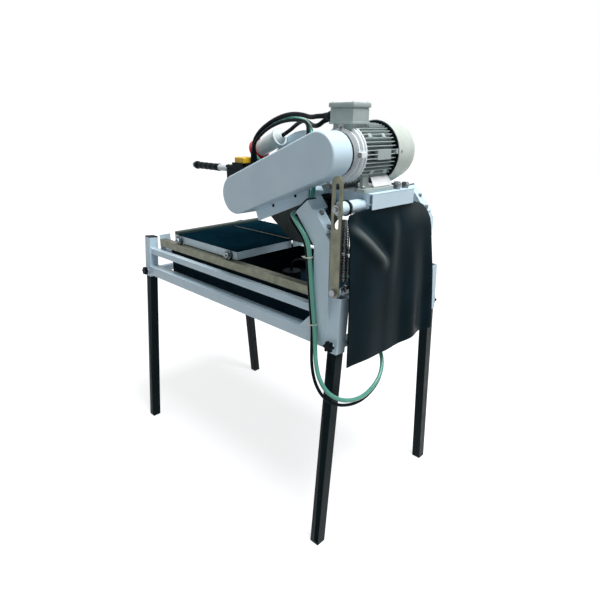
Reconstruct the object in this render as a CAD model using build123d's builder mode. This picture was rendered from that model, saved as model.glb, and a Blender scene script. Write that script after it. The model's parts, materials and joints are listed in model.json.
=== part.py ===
from build123d import *
import math
import os

# Wet stone table saw: a stand on four splayed plug-in legs, a carriage on angle rails over a
# water pan, and a belt-driven saw head that pivots on two bent columns. Millimetres, +Z up.
# The origin is on the floor, midway between the four feet. The operator stands at -X, and
# the belt guard is on the near side, -Y.

os.makedirs("parts", exist_ok=True)

# Legs and sockets
foot_pitch_x = 1087.0
foot_pitch_y = 646.0
leg_splay = 4.75
leg_side = 35.0
leg_wall = 2.0
leg_top_z = 850.0
foot_plug = 10.0
socket_side = 40.0
socket_wall = 2.0
socket_low_z = 702.0
socket_top_z = 875.0
cap_thick = 5.0

# Star knob screws that lock the legs
knob_z = 726.0
knob_core_r = 13.0
knob_lobe_r = 4.5
knob_lobes = 6
knob_height = 14.0
knob_round = 2.0
screw_r = 4.0
boss_r = 9.0
boss_length = 7.0
knob_gap = 0.5
fit = 0.05
tip_gap = 0.3

# Rails and cross tubes
tube_wall = 2.0
lower_rail_side = 40.0
lower_rail_z = 731.0
upper_rail_side = 25.0
upper_rail_top_z = 830.0
upper_rail_inset = 6.0
cross_side = 25.0
cross_front_x = -480.0
cross_rear_x = 445.0
bearer_reach = 250.0
gusset = 60.0
plate = 5.0

# Bent columns
column_width = 60.0
arm_lean = 39.5
arm_past_pivot = 12.0
pivot_offset = 6.0

# Head pivot
pivot_x = 424.0
pivot_z = 1123.0
pivot_r = 14.0
bearing_r = 23.0
bearing_length = 26.0
bearing_plate = 6.0
bearing_plate_length = 80.0
bearing_plate_below = 62.0

# Carriage rails and stops
angle_side = 30.0
angle_thick = 4.0
rail_top_z = 875.0
stop_width = 50.0
stop_height = 18.0

# Water pan and pump
pan_length = 870.0
pan_centre_x = -16.0
pan_width = 440.0
pan_height = 100.0
pan_wall = 3.0
pan_corner = 25.0
pan_lip = 8.0
pan_taper = 3.0
pump_x = 130.0
pump_y = -45.0
pump_r = 40.0
pump_height = 78.0
pump_foot = 8.0
pump_spout_r = 7.0
pump_spout = 18.0

# Carriage
table_length = 415.0
table_width = 452.0
table_rear_x = 30.0
table_top_z = 912.0
mat_thick = 4.0
table_plate = 3.0
side_plate = 3.0
side_clearance = 4.0
slot_width = 9.0
slot_front = 40.0
fence_width = 28.0
fence_height = 10.0
wheel_r = 17.5
wheel_width = 11.0
wheel_gap = 2.0
wheel_front = 45.0
wheel_rear = 40.0
axle_r = 6.0
axle_head_r = 9.0
axle_head = 6.0

# Saw head: arbor, blade and guard
arbor_x = 127.0
arbor_z = 1132.0
arbor_r = 15.0
blade_y = 58.0
blade_r = 175.0
blade_thick = 3.2
blade_slots = 20
blade_slot_depth = 16.0
blade_slot_width = 3.0
flange_r = 45.0
flange_thick = 6.0
arbor_nut = 12.0
guard_r = 197.0
guard_wall = 2.5
guard_width = 56.0
guard_drop = 70.0
nozzle_x = 48.0
nozzle_z = 1208.0
nozzle_length = 22.0
housing_r = 35.0
housing_near_y = -226.0
housing_far_y = 18.0
housing_flange_r = 50.0
housing_flange = 8.0

# Motor base and arm
base_front_x = 398.0
base_rear_x = 572.0
base_near_y = -175.0
base_far_y = 35.0
base_over_pivot = 1.0
base_height = 45.0
base_low_z = pivot_z + base_over_pivot
base_top_z = base_low_z + base_height
base_plate = 6.0
hub_r = 32.0
hub_length = 18.0
arm_width = 80.0
arm_height = 40.0
arm_near_y = -160.0
arm_low_z = 1117.0

# Motor
motor_x = 485.0
motor_height = 103.0
motor_z = base_top_z + motor_height
motor_shaft_r = 12.0
core_r = 66.0
fin_r = 80.0
fin_thick = 3.0
fins = 26
shield_near_y = -222.0
shield_r = 74.0
frame_near_y = -190.0
frame_far_y = -50.0
motor_end_y = 58.0
cowl_r = 92.0
cowl_end_r = 78.0
cowl_wall = 2.5
cowl_round = 14.0
far_shield = 8.0
foot_spread = 65.0
foot_width = 30.0
foot_thick = 12.0
foot_spans = ((-190.0, -154.0), (-80.0, -50.0))
box_width = 90.0
box_depth = 80.0
box_height = 40.0
box_lid = 16.0
box_lip = 3.0
box_near_y = -210.0
gland_r = 11.0
gland_length = 30.0

# Belt drive and its guard
belt_guard_r = 62.0
belt_guard_near_y = -304.0
belt_guard_wall = 2.0
belt_guard_round = 6.0
back_plate = 6.0
back_drop = 95.0
back_rear_x = 388.0
pulley_r = 34.0
pulley_rim_r = 46.0
pulley_rim = 4.0
belt_width = 24.0
belt_thick = 8.0
belt_near_y = -284.0
running_gap = 0.3

# Handle and switch
bar_r = 11.0
bar_wall = 2.0
bar_y = -150.0
bar_z = 1192.0
bar_front_x = -322.0
grip_r = 17.0
grip_length = 150.0
grip_grooves = 5
grip_groove_r = 14.0
switch_length = 133.0
switch_width = 70.0
switch_height = 56.0
switch_front_x = -93.0
switch_low_z = 1153.0
cover_length = 55.0
cover_width = 52.0
cover_height = 28.0
cover_front_x = -30.0
button_r = 8.0
button_proud = 5.0
button_deep = 10.0
button_pitch = 24.0

# Depth strap, lift tube and spring
lift_tube_r = 19.0
lift_tube_wall = 3.0
lift_tube_x = 545.0
lift_tube_rise = 10.0
lift_tube_z = base_low_z + lift_tube_rise
lift_tube_plug = 12.0
strap_width = 36.0
strap_thick = 6.0
strap_near_y = -284.0
strap_pin_x = 545.0
strap_pin_z = 897.0
strap_pin_r = 6.0
strap_top_z = 1222.0
strap_slot_width = 16.0
strap_slot_low_z = 1079.0
strap_slot_top_z = 1203.0
clamp_r = 6.0
clamp_head_r = 11.0
clamp_head = 9.0
spring_y = -248.0
spring_r = 11.0
spring_wire = 3.6
spring_turns = 24
spring_low_z = 925.0
spring_top_z = 1088.0
hook_shift = 8.0

# Rear curtain and splash skirt
curtain_thick = 4.0
hem_r = 4.0
hem_gap = 0.3
bar_thick = 4.0
bar_flange = 14.0
curtain_low_z = 655.0
curtain_kick = 14.0
curtain_kick_drop = 75.0
curtain_corner_drop = 26.0
curtain_shoulder_drop = 70.0
curtain_body_drop = 230.0
skirt_thick = 4.0
skirt_lap = 12.0
skirt_front = 185.0
skirt_nose = 205.0
skirt_nose_drop = 55.0
skirt_foot_front = 75.0
skirt_foot_rear = 110.0
skirt_rear = 175.0
skirt_clear = 5.0

# Lines
hose_r = 7.5
pump_cable_r = 4.5
motor_cable_r = 6.0
supply_cord_r = 6.5
plug_r = 30.0
plug_collar_r = 36.0
plug_mouth_r = 26.0
plug_length = 155.0
plug_collar = 24.0
plug_front_x = -100.0
plug_front_z = 1255.0
plug_rise_x = 151.0
plug_rise_z = 49.0
line_gap = 0.5
cord_sides = 6

tilt = math.radians(leg_splay)
rear_leg_x = foot_pitch_x / 2
column_x = rear_leg_x - socket_side / 2 - column_width / 2
column_front_x = column_x - column_width / 2
column_rear_x = column_x + column_width / 2


def leg_plane(end, side):
    """The plane square to a leg, at its foot on the floor."""
    foot = (end * foot_pitch_x / 2, side * foot_pitch_y / 2, 0)
    return Plane(origin=foot, x_dir=(1, 0, 0), z_dir=(0, -side * math.sin(tilt), math.cos(tilt)))


def leg_y(z):
    """How far a leg's centre line is from the middle at height z."""
    return foot_pitch_y / 2 - z * math.tan(tilt)


def along_leg(z):
    return z / math.cos(tilt)


def at_y(y):
    """A sketch plane in X and Z at this y, where extruding by a positive amount goes to -Y."""
    return Plane.XZ.offset(-y)


def save(name, *pieces):
    """Write one node: a single piece, or a group of separate ones."""
    node = pieces[0] if len(pieces) == 1 else Compound(children=list(pieces))
    node.label = name
    export_step(node, f"parts/{name}.step")


def tube_x(y, z, side, x_low, x_high):
    """A square tube that runs along X."""
    with BuildPart() as tube:
        with BuildSketch(Plane.YZ.offset(x_low)):
            with Locations((y, z)):
                Rectangle(side, side)
                Rectangle(side - 2 * tube_wall, side - 2 * tube_wall, mode=Mode.SUBTRACT)
        extrude(amount=x_high - x_low)
    return tube.part


def tube_y(x, z, side, y_low, y_high):
    """A square tube that runs along Y."""
    with BuildPart() as tube:
        with BuildSketch(at_y(y_high)):
            with Locations((x, z)):
                Rectangle(side, side)
                Rectangle(side - 2 * tube_wall, side - 2 * tube_wall, mode=Mode.SUBTRACT)
        extrude(amount=y_high - y_low)
    return tube.part


def disc_y(x, z, radius, y_low, y_high, bore=0.0):
    """A round piece with its axis along Y, with a bore if it has one."""
    with BuildPart() as disc:
        with BuildSketch(at_y(y_high)):
            with Locations((x, z)):
                Circle(radius)
                if bore:
                    Circle(bore, mode=Mode.SUBTRACT)
        extrude(amount=y_high - y_low)
    return disc.part


def plate_y(points, y_low, y_high):
    """A flat piece cut to a straight-sided outline in X and Z."""
    with BuildPart() as piece:
        with BuildSketch(at_y(y_high)):
            with BuildLine():
                Polyline(*points, close=True)
            make_face()
        extrude(amount=y_high - y_low)
    return piece.part


# Legs, their end plugs, sockets and knobs
ends = {"front": -1, "rear": 1}
sides = {"near": -1, "far": 1}
sockets = []
caps = []
for end_name, end in ends.items():
    for side_name, side in sides.items():
        square = leg_plane(end, side)
        with BuildPart() as leg:
            with BuildSketch(square.offset(foot_plug)):
                Rectangle(leg_side, leg_side)
                Rectangle(leg_side - 2 * leg_wall, leg_side - 2 * leg_wall, mode=Mode.SUBTRACT)
            extrude(amount=along_leg(leg_top_z) - foot_plug)
        with BuildPart() as plug_foot:
            with BuildSketch(square.offset(-foot_plug)):
                Rectangle(leg_side, leg_side)
            extrude(amount=2 * foot_plug)
            split(bisect_by=Plane.XY, keep=Keep.TOP)
        save(f"leg_{end_name}_{side_name}", leg.part, plug_foot.part)

        outer = Plane(
            origin=square.from_local_coords((0, side * socket_side / 2, along_leg(knob_z))),
            x_dir=(1, 0, 0),
            z_dir=square.y_dir * side,
        )
        with BuildPart() as socket:
            with BuildSketch(square.offset(along_leg(socket_low_z))):
                Rectangle(socket_side, socket_side)
                inner = socket_side - 2 * socket_wall
                Rectangle(inner, inner, mode=Mode.SUBTRACT)
            extrude(amount=along_leg(socket_top_z - socket_low_z))
            with BuildSketch(outer):
                Circle(boss_r)
            extrude(amount=boss_length)
            with Locations(outer.offset(boss_length)):
                Hole(screw_r + fit, depth=boss_length + socket_wall + fit)
        sockets.append(socket.part)

        with BuildPart() as knob:
            with BuildSketch(outer.offset(boss_length + knob_gap)):
                Circle(knob_core_r)
                with PolarLocations(knob_core_r, knob_lobes):
                    Circle(knob_lobe_r)
            extrude(amount=knob_height)
            top_face = knob.faces().sort_by(Axis(outer.origin, outer.z_dir))[-1]
            chamfer(top_face.edges(), knob_round)
            screw_reach = (socket_side - leg_side) / 2 - tip_gap
            with BuildSketch(outer.offset(-screw_reach)):
                Circle(screw_r)
            extrude(amount=screw_reach + boss_length + knob_gap)
        save(f"knob_{end_name}_{side_name}", knob.part)

        if end_name == "front":
            with BuildPart() as cap:
                with BuildSketch(square.offset(along_leg(socket_top_z))):
                    Rectangle(socket_side, socket_side)
                extrude(amount=cap_thick)
            caps.append(cap.part)
save("leg_sockets", *sockets)

# Side rails
front_face_x = -rear_leg_x + socket_side / 2
lower_y = leg_y(lower_rail_z)
upper_z = upper_rail_top_z - upper_rail_side / 2
upper_y = leg_y(upper_z) + socket_side / 2 - upper_rail_inset - upper_rail_side / 2
lower_rails = []
upper_rails = []
for side in sides.values():
    lower_rails.append(tube_x(side * lower_y, lower_rail_z, lower_rail_side, front_face_x, column_front_x))
    upper_rails.append(tube_x(side * upper_y, upper_z, upper_rail_side, front_face_x, column_front_x))
save("lower_rails", *lower_rails)
save("upper_rails", *upper_rails)

# Cross tubes: two at the upper rails, two between the sockets, and two that bear the pan
bearer_z = lower_rail_z - lower_rail_side / 2 + cross_side / 2
pan_low_z = bearer_z + cross_side / 2
upper_reach = upper_y - upper_rail_side / 2
lower_reach = lower_y - lower_rail_side / 2
cross_tubes = []
for x in (cross_front_x, cross_rear_x):
    cross_tubes.append(tube_y(x, upper_z, cross_side, -upper_reach, upper_reach))
for x in (-bearer_reach, bearer_reach):
    cross_tubes.append(tube_y(x, bearer_z, cross_side, -lower_reach, lower_reach))
for end in ends.values():
    with BuildPart() as tie:
        add(tube_y(end * rear_leg_x, bearer_z, cross_side, -foot_pitch_y / 2, foot_pitch_y / 2))
        for side in sides.values():
            square = leg_plane(end, side)
            face = square.from_local_coords((0, -side * socket_side / 2, 0))
            split(bisect_by=Plane(origin=face, x_dir=(1, 0, 0), z_dir=square.y_dir * -side), keep=Keep.TOP)
    cross_tubes.append(tie.part)
save("cross_tubes", *cross_tubes)

# Bent columns: the upright stands against the rear socket, and the arm leans over to the pivot
lean = math.radians(arm_lean)
arm_up = Vector(-math.sin(lean), math.cos(lean))
arm_across = Vector(math.cos(lean), math.sin(lean))
arm_end = Vector(pivot_x, pivot_z) + arm_up * arm_past_pivot - arm_across * pivot_offset
bend_z = arm_end.Y - (column_x - arm_end.X) / math.tan(lean)
column_low_z = lower_rail_z - lower_rail_side / 2
column_inner_y = lower_y - lower_rail_side / 2
column_outer_y = lower_y + lower_rail_side / 2


def column_outline(half, extra):
    """The bent tube's outline at this half width, run past both ends by extra."""
    mitre = half * math.tan(lean / 2)
    tip = arm_end + arm_up * extra
    tip_rear = tip + arm_across * half
    tip_front = tip - arm_across * half
    return [
        (column_x - half, column_low_z - extra),
        (column_x + half, column_low_z - extra),
        (column_x + half, bend_z + mitre),
        (tip_rear.X, tip_rear.Y),
        (tip_front.X, tip_front.Y),
        (column_x - half, bend_z - mitre),
    ]


gussets = []
bearings = []
slope = Plane(origin=(pivot_x, 0, pivot_z), x_dir=(0, 1, 0), z_dir=(arm_across.X, 0, arm_across.Y))
slope_height = column_width / 2 - pivot_offset
for side_name, side in sides.items():
    high_y = max(side * column_inner_y, side * column_outer_y)
    with BuildPart() as column:
        add(plate_y(column_outline(column_width / 2, 0), high_y - lower_rail_side, high_y))
        hollow = column_outline(column_width / 2 - tube_wall, 1)
        bore = plate_y(hollow, high_y - lower_rail_side + tube_wall, high_y - tube_wall)
        add(bore, mode=Mode.SUBTRACT)
    save(f"column_{side_name}", column.part)

    with BuildPart() as column_cap:
        cap_plane = Plane(
            origin=(arm_end.X, side * lower_y, arm_end.Y), x_dir=(0, 1, 0), z_dir=(arm_up.X, 0, arm_up.Y)
        )
        with BuildSketch(cap_plane):
            Rectangle(lower_rail_side, column_width)
        extrude(amount=cap_thick / 2)
    caps.append(column_cap.part)

    rail_face_y = side * (column_outer_y - plate)
    corner = (column_front_x, lower_rail_z + lower_rail_side / 2)
    gusset_points = [corner, (corner[0] - gusset, corner[1]), (corner[0], corner[1] + gusset)]
    gusset_high = max(rail_face_y, side * column_outer_y)
    gussets.append(plate_y(gusset_points, gusset_high - plate, gusset_high))

    # The bearing stands against the column's inner face, and a bolted plate lies on the arm's back
    with BuildPart() as bearing:
        block_high = max(side * column_inner_y, side * (column_inner_y - bearing_length))
        with BuildSketch(at_y(block_high)):
            with Locations((pivot_x, pivot_z)):
                Circle(bearing_r)
                with Locations(Location((0, 0), arm_lean)):
                    with Locations((slope_height / 2, 0)):
                        Rectangle(slope_height, 1.8 * bearing_r)
                Circle(pivot_r + fit, mode=Mode.SUBTRACT)
        extrude(amount=bearing_length)
        split(bisect_by=slope.offset(slope_height), keep=Keep.BOTTOM)
    with BuildPart() as back_pad:
        with BuildSketch(slope.offset(slope_height)):
            with Locations((side * lower_y, -bearing_plate_below)):
                Rectangle(lower_rail_side, bearing_plate_length)
        extrude(amount=bearing_plate)
    bearings.append(bearing.part)
    bearings.append(back_pad.part)
save("post_caps", *caps)
save("pivot_bearings", *bearings)

# Carriage rails between their end stops, and the lug that carries the strap's pin
# The rails' outer edges line up with the heads of the axle bolts that roll over them
rail_outer_y = table_width / 2 + 2 * wheel_gap + wheel_width + axle_head
rail_front_x = cross_front_x + plate / 2
rail_rear_x = cross_rear_x - plate / 2
carriage_rails = []
stops = []
for side in sides.values():
    with BuildPart() as angle_rail:
        with BuildSketch(Plane.YZ.offset(rail_front_x)):
            with Locations((side * (rail_outer_y - angle_side / 2), rail_top_z - angle_thick / 2)):
                Rectangle(angle_side, angle_thick)
            with Locations((side * (rail_outer_y - angle_thick / 2), rail_top_z - angle_side / 2)):
                Rectangle(angle_thick, angle_side)
        extrude(amount=rail_rear_x - rail_front_x)
    carriage_rails.append(angle_rail.part)
    stop_rise = rail_top_z + stop_height - upper_rail_top_z
    for x in (cross_front_x, cross_rear_x):
        with BuildPart() as stop:
            with BuildSketch(Plane.XY.offset(upper_rail_top_z)):
                with Locations((x, side * (upper_reach - stop_width / 2))):
                    Rectangle(plate, stop_width)
            extrude(amount=stop_rise)
        stops.append(stop.part)
save("carriage_rails", *carriage_rails)

lug_near_y = strap_near_y + strap_thick + running_gap
lug_thick = 8.0
lug_half = 17.0
with BuildPart() as lug:
    with BuildSketch(at_y(lug_near_y + lug_thick)):
        lug_mid_x = (column_rear_x + strap_pin_x) / 2
        with Locations((lug_mid_x, strap_pin_z)):
            Rectangle(strap_pin_x - column_rear_x, 2 * lug_half)
        with Locations((strap_pin_x, strap_pin_z)):
            Circle(lug_half)
            Circle(strap_pin_r + fit, mode=Mode.SUBTRACT)
    extrude(amount=lug_thick)
save("frame_plates", *gussets, *stops, lug.part)

# Water pan with a rolled lip, and the submersible pump on its floor
with BuildPart() as water_pan:
    with BuildSketch(Plane.XY.offset(pan_low_z)):
        with Locations((pan_centre_x, 0)):
            RectangleRounded(pan_length, pan_width, pan_corner)
    extrude(amount=pan_height)
    pan_mouth = water_pan.faces().sort_by(Axis.Z)[-1]
    offset(amount=-pan_wall, openings=pan_mouth)
    with BuildSketch(Plane.XY.offset(pan_low_z + pan_height)):
        with Locations((pan_centre_x, 0)):
            RectangleRounded(pan_length + 2 * pan_lip, pan_width, pan_corner)
            inner_length = pan_length - 2 * pan_wall
            inner_width = pan_width - 2 * pan_wall
            RectangleRounded(inner_length, inner_width, pan_corner - pan_wall, mode=Mode.SUBTRACT)
    extrude(amount=-pan_wall)
save("water_pan", water_pan.part)

pump_low_z = pan_low_z + pan_wall
spout_z = pump_low_z + pump_foot + pump_height / 2
with BuildPart() as water_pump:
    with BuildSketch(Plane.XY.offset(pump_low_z)):
        with Locations((pump_x, pump_y)):
            RegularPolygon(pump_r + pump_foot, 8)
    extrude(amount=pump_foot)
    with BuildSketch(Plane.XY.offset(pump_low_z + pump_foot)):
        with Locations((pump_x, pump_y)):
            Circle(pump_r)
    extrude(amount=pump_height, taper=4)
    with BuildSketch(Plane.YZ.offset(pump_x)):
        with Locations((pump_y, spout_z)):
            Circle(pump_spout_r)
    extrude(amount=pump_r + pump_spout)
save("water_pump", water_pump.part)

# Carriage: slotted plate under a rubber mat, on a folded frame that rolls on four wheels
table_front_x = table_rear_x - table_length
table_mid_x = (table_front_x + table_rear_x) / 2
plate_top_z = table_top_z - mat_thick
frame_top_z = plate_top_z - table_plate
frame_low_z = rail_top_z + side_clearance
axle_z = rail_top_z + wheel_r
slot_length = table_length - slot_front
slot_mid_x = table_rear_x - slot_length / 2
for name, low_z, thick in (("table_plate", frame_top_z, table_plate), ("table_mat", plate_top_z, mat_thick)):
    with BuildPart() as sheet:
        with BuildSketch(Plane.XY.offset(low_z)):
            with Locations((table_mid_x, 0)):
                Rectangle(table_length, table_width)
            with Locations((slot_mid_x, blade_y)):
                Rectangle(slot_length, slot_width, mode=Mode.SUBTRACT)
            if name == "table_mat":
                with Locations((table_front_x + fence_width / 2, 0)):
                    Rectangle(fence_width, table_width, mode=Mode.SUBTRACT)
        extrude(amount=thick)
    save(name, sheet.part)

with BuildPart() as fence_strip:
    with BuildSketch(Plane.XY.offset(plate_top_z)):
        with Locations((table_front_x + fence_width / 2, 0)):
            Rectangle(fence_width, table_width)
    extrude(amount=mat_thick + fence_height)
    upright = fence_strip.edges().filter_by(Axis.Y).sort_by(Axis.Z)[-2:]
    chamfer(upright, fence_height / 4)
save("fence_strip", fence_strip.part)

wheel_xs = {"front_wheels": table_front_x + wheel_front, "rear_wheels": table_rear_x - wheel_rear}
wheel_y = table_width / 2 + wheel_gap + wheel_width / 2
with BuildPart() as carriage_frame:
    with BuildSketch(Plane.XY.offset(frame_low_z)):
        with Locations((table_mid_x, 0)):
            Rectangle(table_length, table_width)
            inside = (table_length - 2 * side_plate, table_width - 2 * side_plate)
            Rectangle(*inside, mode=Mode.SUBTRACT)
    extrude(amount=frame_top_z - frame_low_z)
    # The blade passes through the rear plate in a gap under the slot
    with BuildSketch(Plane.XY.offset(frame_low_z)):
        with Locations((table_rear_x - side_plate / 2, blade_y)):
            Rectangle(2 * side_plate, slot_width)
    extrude(amount=frame_top_z - frame_low_z, mode=Mode.SUBTRACT)
    for x in wheel_xs.values():
        for side in sides.values():
            # Each axle bolt has its head outside the wheel and its shank in the side plate
            inner_y = side * (table_width / 2 - side_plate)
            outer_y = side * (table_width / 2 + 2 * wheel_gap + wheel_width)
            add(disc_y(x, axle_z, axle_r, min(inner_y, outer_y), max(inner_y, outer_y)))
            head_y = outer_y + side * axle_head
            add(disc_y(x, axle_z, axle_head_r, min(head_y, outer_y), max(head_y, outer_y)))
save("carriage_frame", carriage_frame.part)

for name, x in wheel_xs.items():
    pair = []
    for side in sides.values():
        with BuildPart() as wheel:
            with BuildSketch(at_y(side * wheel_y + wheel_width / 2)):
                with Locations((x, axle_z)):
                    Circle(wheel_r)
                    Circle(axle_r + fit, mode=Mode.SUBTRACT)
            extrude(amount=wheel_width)
            # The dished shields of a ball bearing, one on each face
            for face_y, way in ((side * wheel_y + wheel_width / 2, 1), (side * wheel_y - wheel_width / 2, -1)):
                with BuildSketch(at_y(face_y)):
                    with Locations((x, axle_z)):
                        Circle(wheel_r * 0.8)
                        Circle(axle_r + 3, mode=Mode.SUBTRACT)
                extrude(amount=way * wheel_gap / 2, mode=Mode.SUBTRACT)
        pair.append(wheel.part)
    save(name, *pair)

# Motor base: an inverted tray between two side plates that carry the hubs and the lift tube
with BuildPart() as motor_base:
    for near_y in (base_near_y, base_far_y - base_plate):
        with BuildSketch(at_y(near_y + base_plate)):
            with BuildLine():
                Polyline(
                    (base_front_x, base_low_z),
                    (base_rear_x, base_low_z),
                    (base_rear_x, base_top_z),
                    (base_front_x, base_top_z),
                    close=True,
                )
            make_face()
            with Locations((pivot_x, pivot_z)):
                Circle(hub_r)
            with Locations((lift_tube_x, lift_tube_z)):
                Circle(lift_tube_r + base_plate)
        extrude(amount=base_plate)
    span = base_far_y - base_near_y
    with BuildSketch(at_y(base_far_y)):
        base_mid_x = (base_front_x + base_rear_x) / 2
        with Locations((base_mid_x, base_top_z - base_plate / 2)):
            Rectangle(base_rear_x - base_front_x, base_plate)
        base_mid_z = (base_low_z + base_top_z) / 2
        for x in (base_front_x + base_plate / 2, base_rear_x - base_plate / 2):
            with Locations((x, base_mid_z)):
                Rectangle(base_plate, base_top_z - base_low_z)
    extrude(amount=span)
    add(disc_y(pivot_x, pivot_z, hub_r - base_plate, base_near_y - hub_length, base_near_y))
    add(disc_y(pivot_x, pivot_z, hub_r - base_plate, base_far_y, base_far_y + hub_length))
    clear_y = span / 2 + hub_length
    add(disc_y(pivot_x, pivot_z, pivot_r, base_near_y - clear_y, base_far_y + clear_y), mode=Mode.SUBTRACT)
    add(disc_y(lift_tube_x, lift_tube_z, lift_tube_r, base_near_y - 1, base_far_y - base_plate), mode=Mode.SUBTRACT)
save("motor_base", motor_base.part)

shaft_reach = column_inner_y - running_gap
save("pivot_shaft", disc_y(pivot_x, pivot_z, pivot_r, -shaft_reach, shaft_reach))

# Lift tube: its near end is plugged and takes the clamp bolt through the strap's slot
lift_near_y = strap_near_y + strap_thick + running_gap
with BuildPart() as lift_tube:
    add(disc_y(lift_tube_x, lift_tube_z, lift_tube_r, lift_near_y, base_far_y - base_plate))
    tube_bore = lift_tube_r - lift_tube_wall
    bore_near_y = lift_near_y + lift_tube_plug
    add(disc_y(lift_tube_x, lift_tube_z, tube_bore, bore_near_y, base_far_y), mode=Mode.SUBTRACT)
    add(disc_y(lift_tube_x, lift_tube_z, clamp_r, lift_near_y, bore_near_y), mode=Mode.SUBTRACT)
save("lift_tube", lift_tube.part)

# Clamp bolt, and the channel bar that holds the curtain's hem against the motor base
clamp_near_y = strap_near_y - running_gap
with BuildPart() as clamp_bolt:
    with BuildSketch(at_y(clamp_near_y)):
        with Locations((lift_tube_x, lift_tube_z)):
            RegularPolygon(clamp_head_r, 6)
    extrude(amount=clamp_head)
    add(disc_y(lift_tube_x, lift_tube_z, clamp_r, bore_near_y, clamp_near_y))
hem_x = base_rear_x + hem_gap + hem_r
hem_z = base_low_z + hem_r
lip_x = hem_x + hem_r + hem_gap
roof_z = hem_z + hem_r + hem_gap
with BuildPart() as curtain_bar:
    with BuildSketch(at_y(base_far_y)):
        with BuildLine():
            Polyline(
                (base_rear_x, roof_z),
                (lip_x, roof_z),
                (lip_x, hem_z - hem_r),
                (lip_x + bar_thick, hem_z - hem_r),
                (lip_x + bar_thick, roof_z + bar_thick),
                (base_rear_x + bar_thick, roof_z + 2 * bar_thick),
                (base_rear_x + bar_thick, roof_z + 2 * bar_thick + bar_flange),
                (base_rear_x, roof_z + 2 * bar_thick + bar_flange),
                close=True,
            )
        make_face()
    extrude(amount=base_far_y - base_near_y)
    # Bolt heads along its upper flange
    for share in (0.12, 0.5, 0.88):
        bolt_y = base_near_y + share * (base_far_y - base_near_y)
        with BuildSketch(Plane.YZ.offset(base_rear_x + bar_thick)):
            with Locations((bolt_y, roof_z + 2 * bar_thick + bar_flange / 2)):
                RegularPolygon(bar_flange / 2, 6)
        extrude(amount=bar_thick)
save("head_hardware", clamp_bolt.part, curtain_bar.part)

# Arm from the motor base forward to the arbor housing
arm_rear_gap_z = arm_low_z + arm_height / 2
with BuildPart() as head_arm:
    with BuildSketch(Plane.YZ.offset(arbor_x)):
        with Locations((arm_near_y + arm_width / 2, arm_rear_gap_z)):
            Rectangle(arm_width, arm_height)
            Rectangle(arm_width - 2 * tube_wall, arm_height - 2 * tube_wall, mode=Mode.SUBTRACT)
    extrude(amount=base_front_x - arbor_x)
    add(disc_y(arbor_x, arbor_z, housing_r, housing_near_y, housing_far_y), mode=Mode.SUBTRACT)
save("head_arm", head_arm.part)

with BuildPart() as arbor_housing:
    add(disc_y(arbor_x, arbor_z, housing_r, housing_near_y, housing_far_y))
    add(disc_y(arbor_x, arbor_z, housing_flange_r, housing_near_y, housing_near_y + housing_flange))
    add(disc_y(arbor_x, arbor_z, arbor_r + fit, housing_near_y, housing_far_y), mode=Mode.SUBTRACT)
    # Saddle on which the handle bar is welded
    saddle_top = bar_z
    with BuildSketch(Plane.XY.offset(arbor_z)):
        with Locations((arbor_x, bar_y)):
            Rectangle(2 * bar_r, 2 * bar_r)
    extrude(amount=saddle_top - arbor_z)
    with BuildSketch(Plane.YZ.offset(arbor_x - 2 * bar_r)):
        with Locations((bar_y, bar_z)):
            Circle(bar_r)
    extrude(amount=4 * bar_r, mode=Mode.SUBTRACT)
    add(disc_y(arbor_x, arbor_z, arbor_r + fit, housing_near_y, housing_far_y), mode=Mode.SUBTRACT)
save("arbor_housing", arbor_housing.part)

# Belt guard: a long cover with round ends, open at the back, on a plate that drops below it
drive_dx = motor_x - arbor_x
drive_dz = motor_z - arbor_z
drive_length = math.hypot(drive_dx, drive_dz)
drive_angle = math.degrees(math.atan2(drive_dz, drive_dx))
drive_mid = ((arbor_x + motor_x) / 2, (arbor_z + motor_z) / 2)
back_near_y = housing_near_y - back_plate
with BuildPart() as belt_guard:
    with BuildSketch(at_y(back_near_y)):
        with Locations(Location(drive_mid, drive_angle)):
            SlotOverall(drive_length + 2 * belt_guard_r, 2 * belt_guard_r)
    extrude(amount=back_near_y - belt_guard_near_y)
    near_rim = belt_guard.faces().sort_by(Axis.Y)[0].edges()
    fillet(near_rim, belt_guard_round)
    open_face = belt_guard.faces().sort_by(Axis.Y)[-1]
    offset(amount=-belt_guard_wall, openings=open_face)
save("belt_guard", belt_guard.part)

drive_along = Vector(drive_dx, drive_dz).normalized()
drive_down = Vector(drive_along.Y, -drive_along.X)
arbor_at = Vector(arbor_x, arbor_z)
drop_start = arbor_at + drive_down * back_drop
rear_run = (back_rear_x - drop_start.X) / drive_along.X
drop_end = drop_start + drive_along * rear_run
shield_hole_r = 50.0
with BuildPart() as guard_back_plate:
    with BuildSketch(at_y(housing_near_y)):
        with Locations(Location(drive_mid, drive_angle)):
            SlotOverall(drive_length + 2 * belt_guard_r, 2 * belt_guard_r)
        with BuildLine():
            Polyline(
                (arbor_at.X, arbor_at.Y),
                (drop_start.X, drop_start.Y),
                (drop_end.X, drop_end.Y),
                (back_rear_x, motor_z - belt_guard_r),
                close=True,
            )
        make_face()
        with Locations((motor_x, motor_z)):
            Circle(shield_hole_r, mode=Mode.SUBTRACT)
        with Locations((arbor_x, arbor_z)):
            Circle(arbor_r + running_gap, mode=Mode.SUBTRACT)
    extrude(amount=back_plate)
save("guard_back_plate", guard_back_plate.part)

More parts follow.
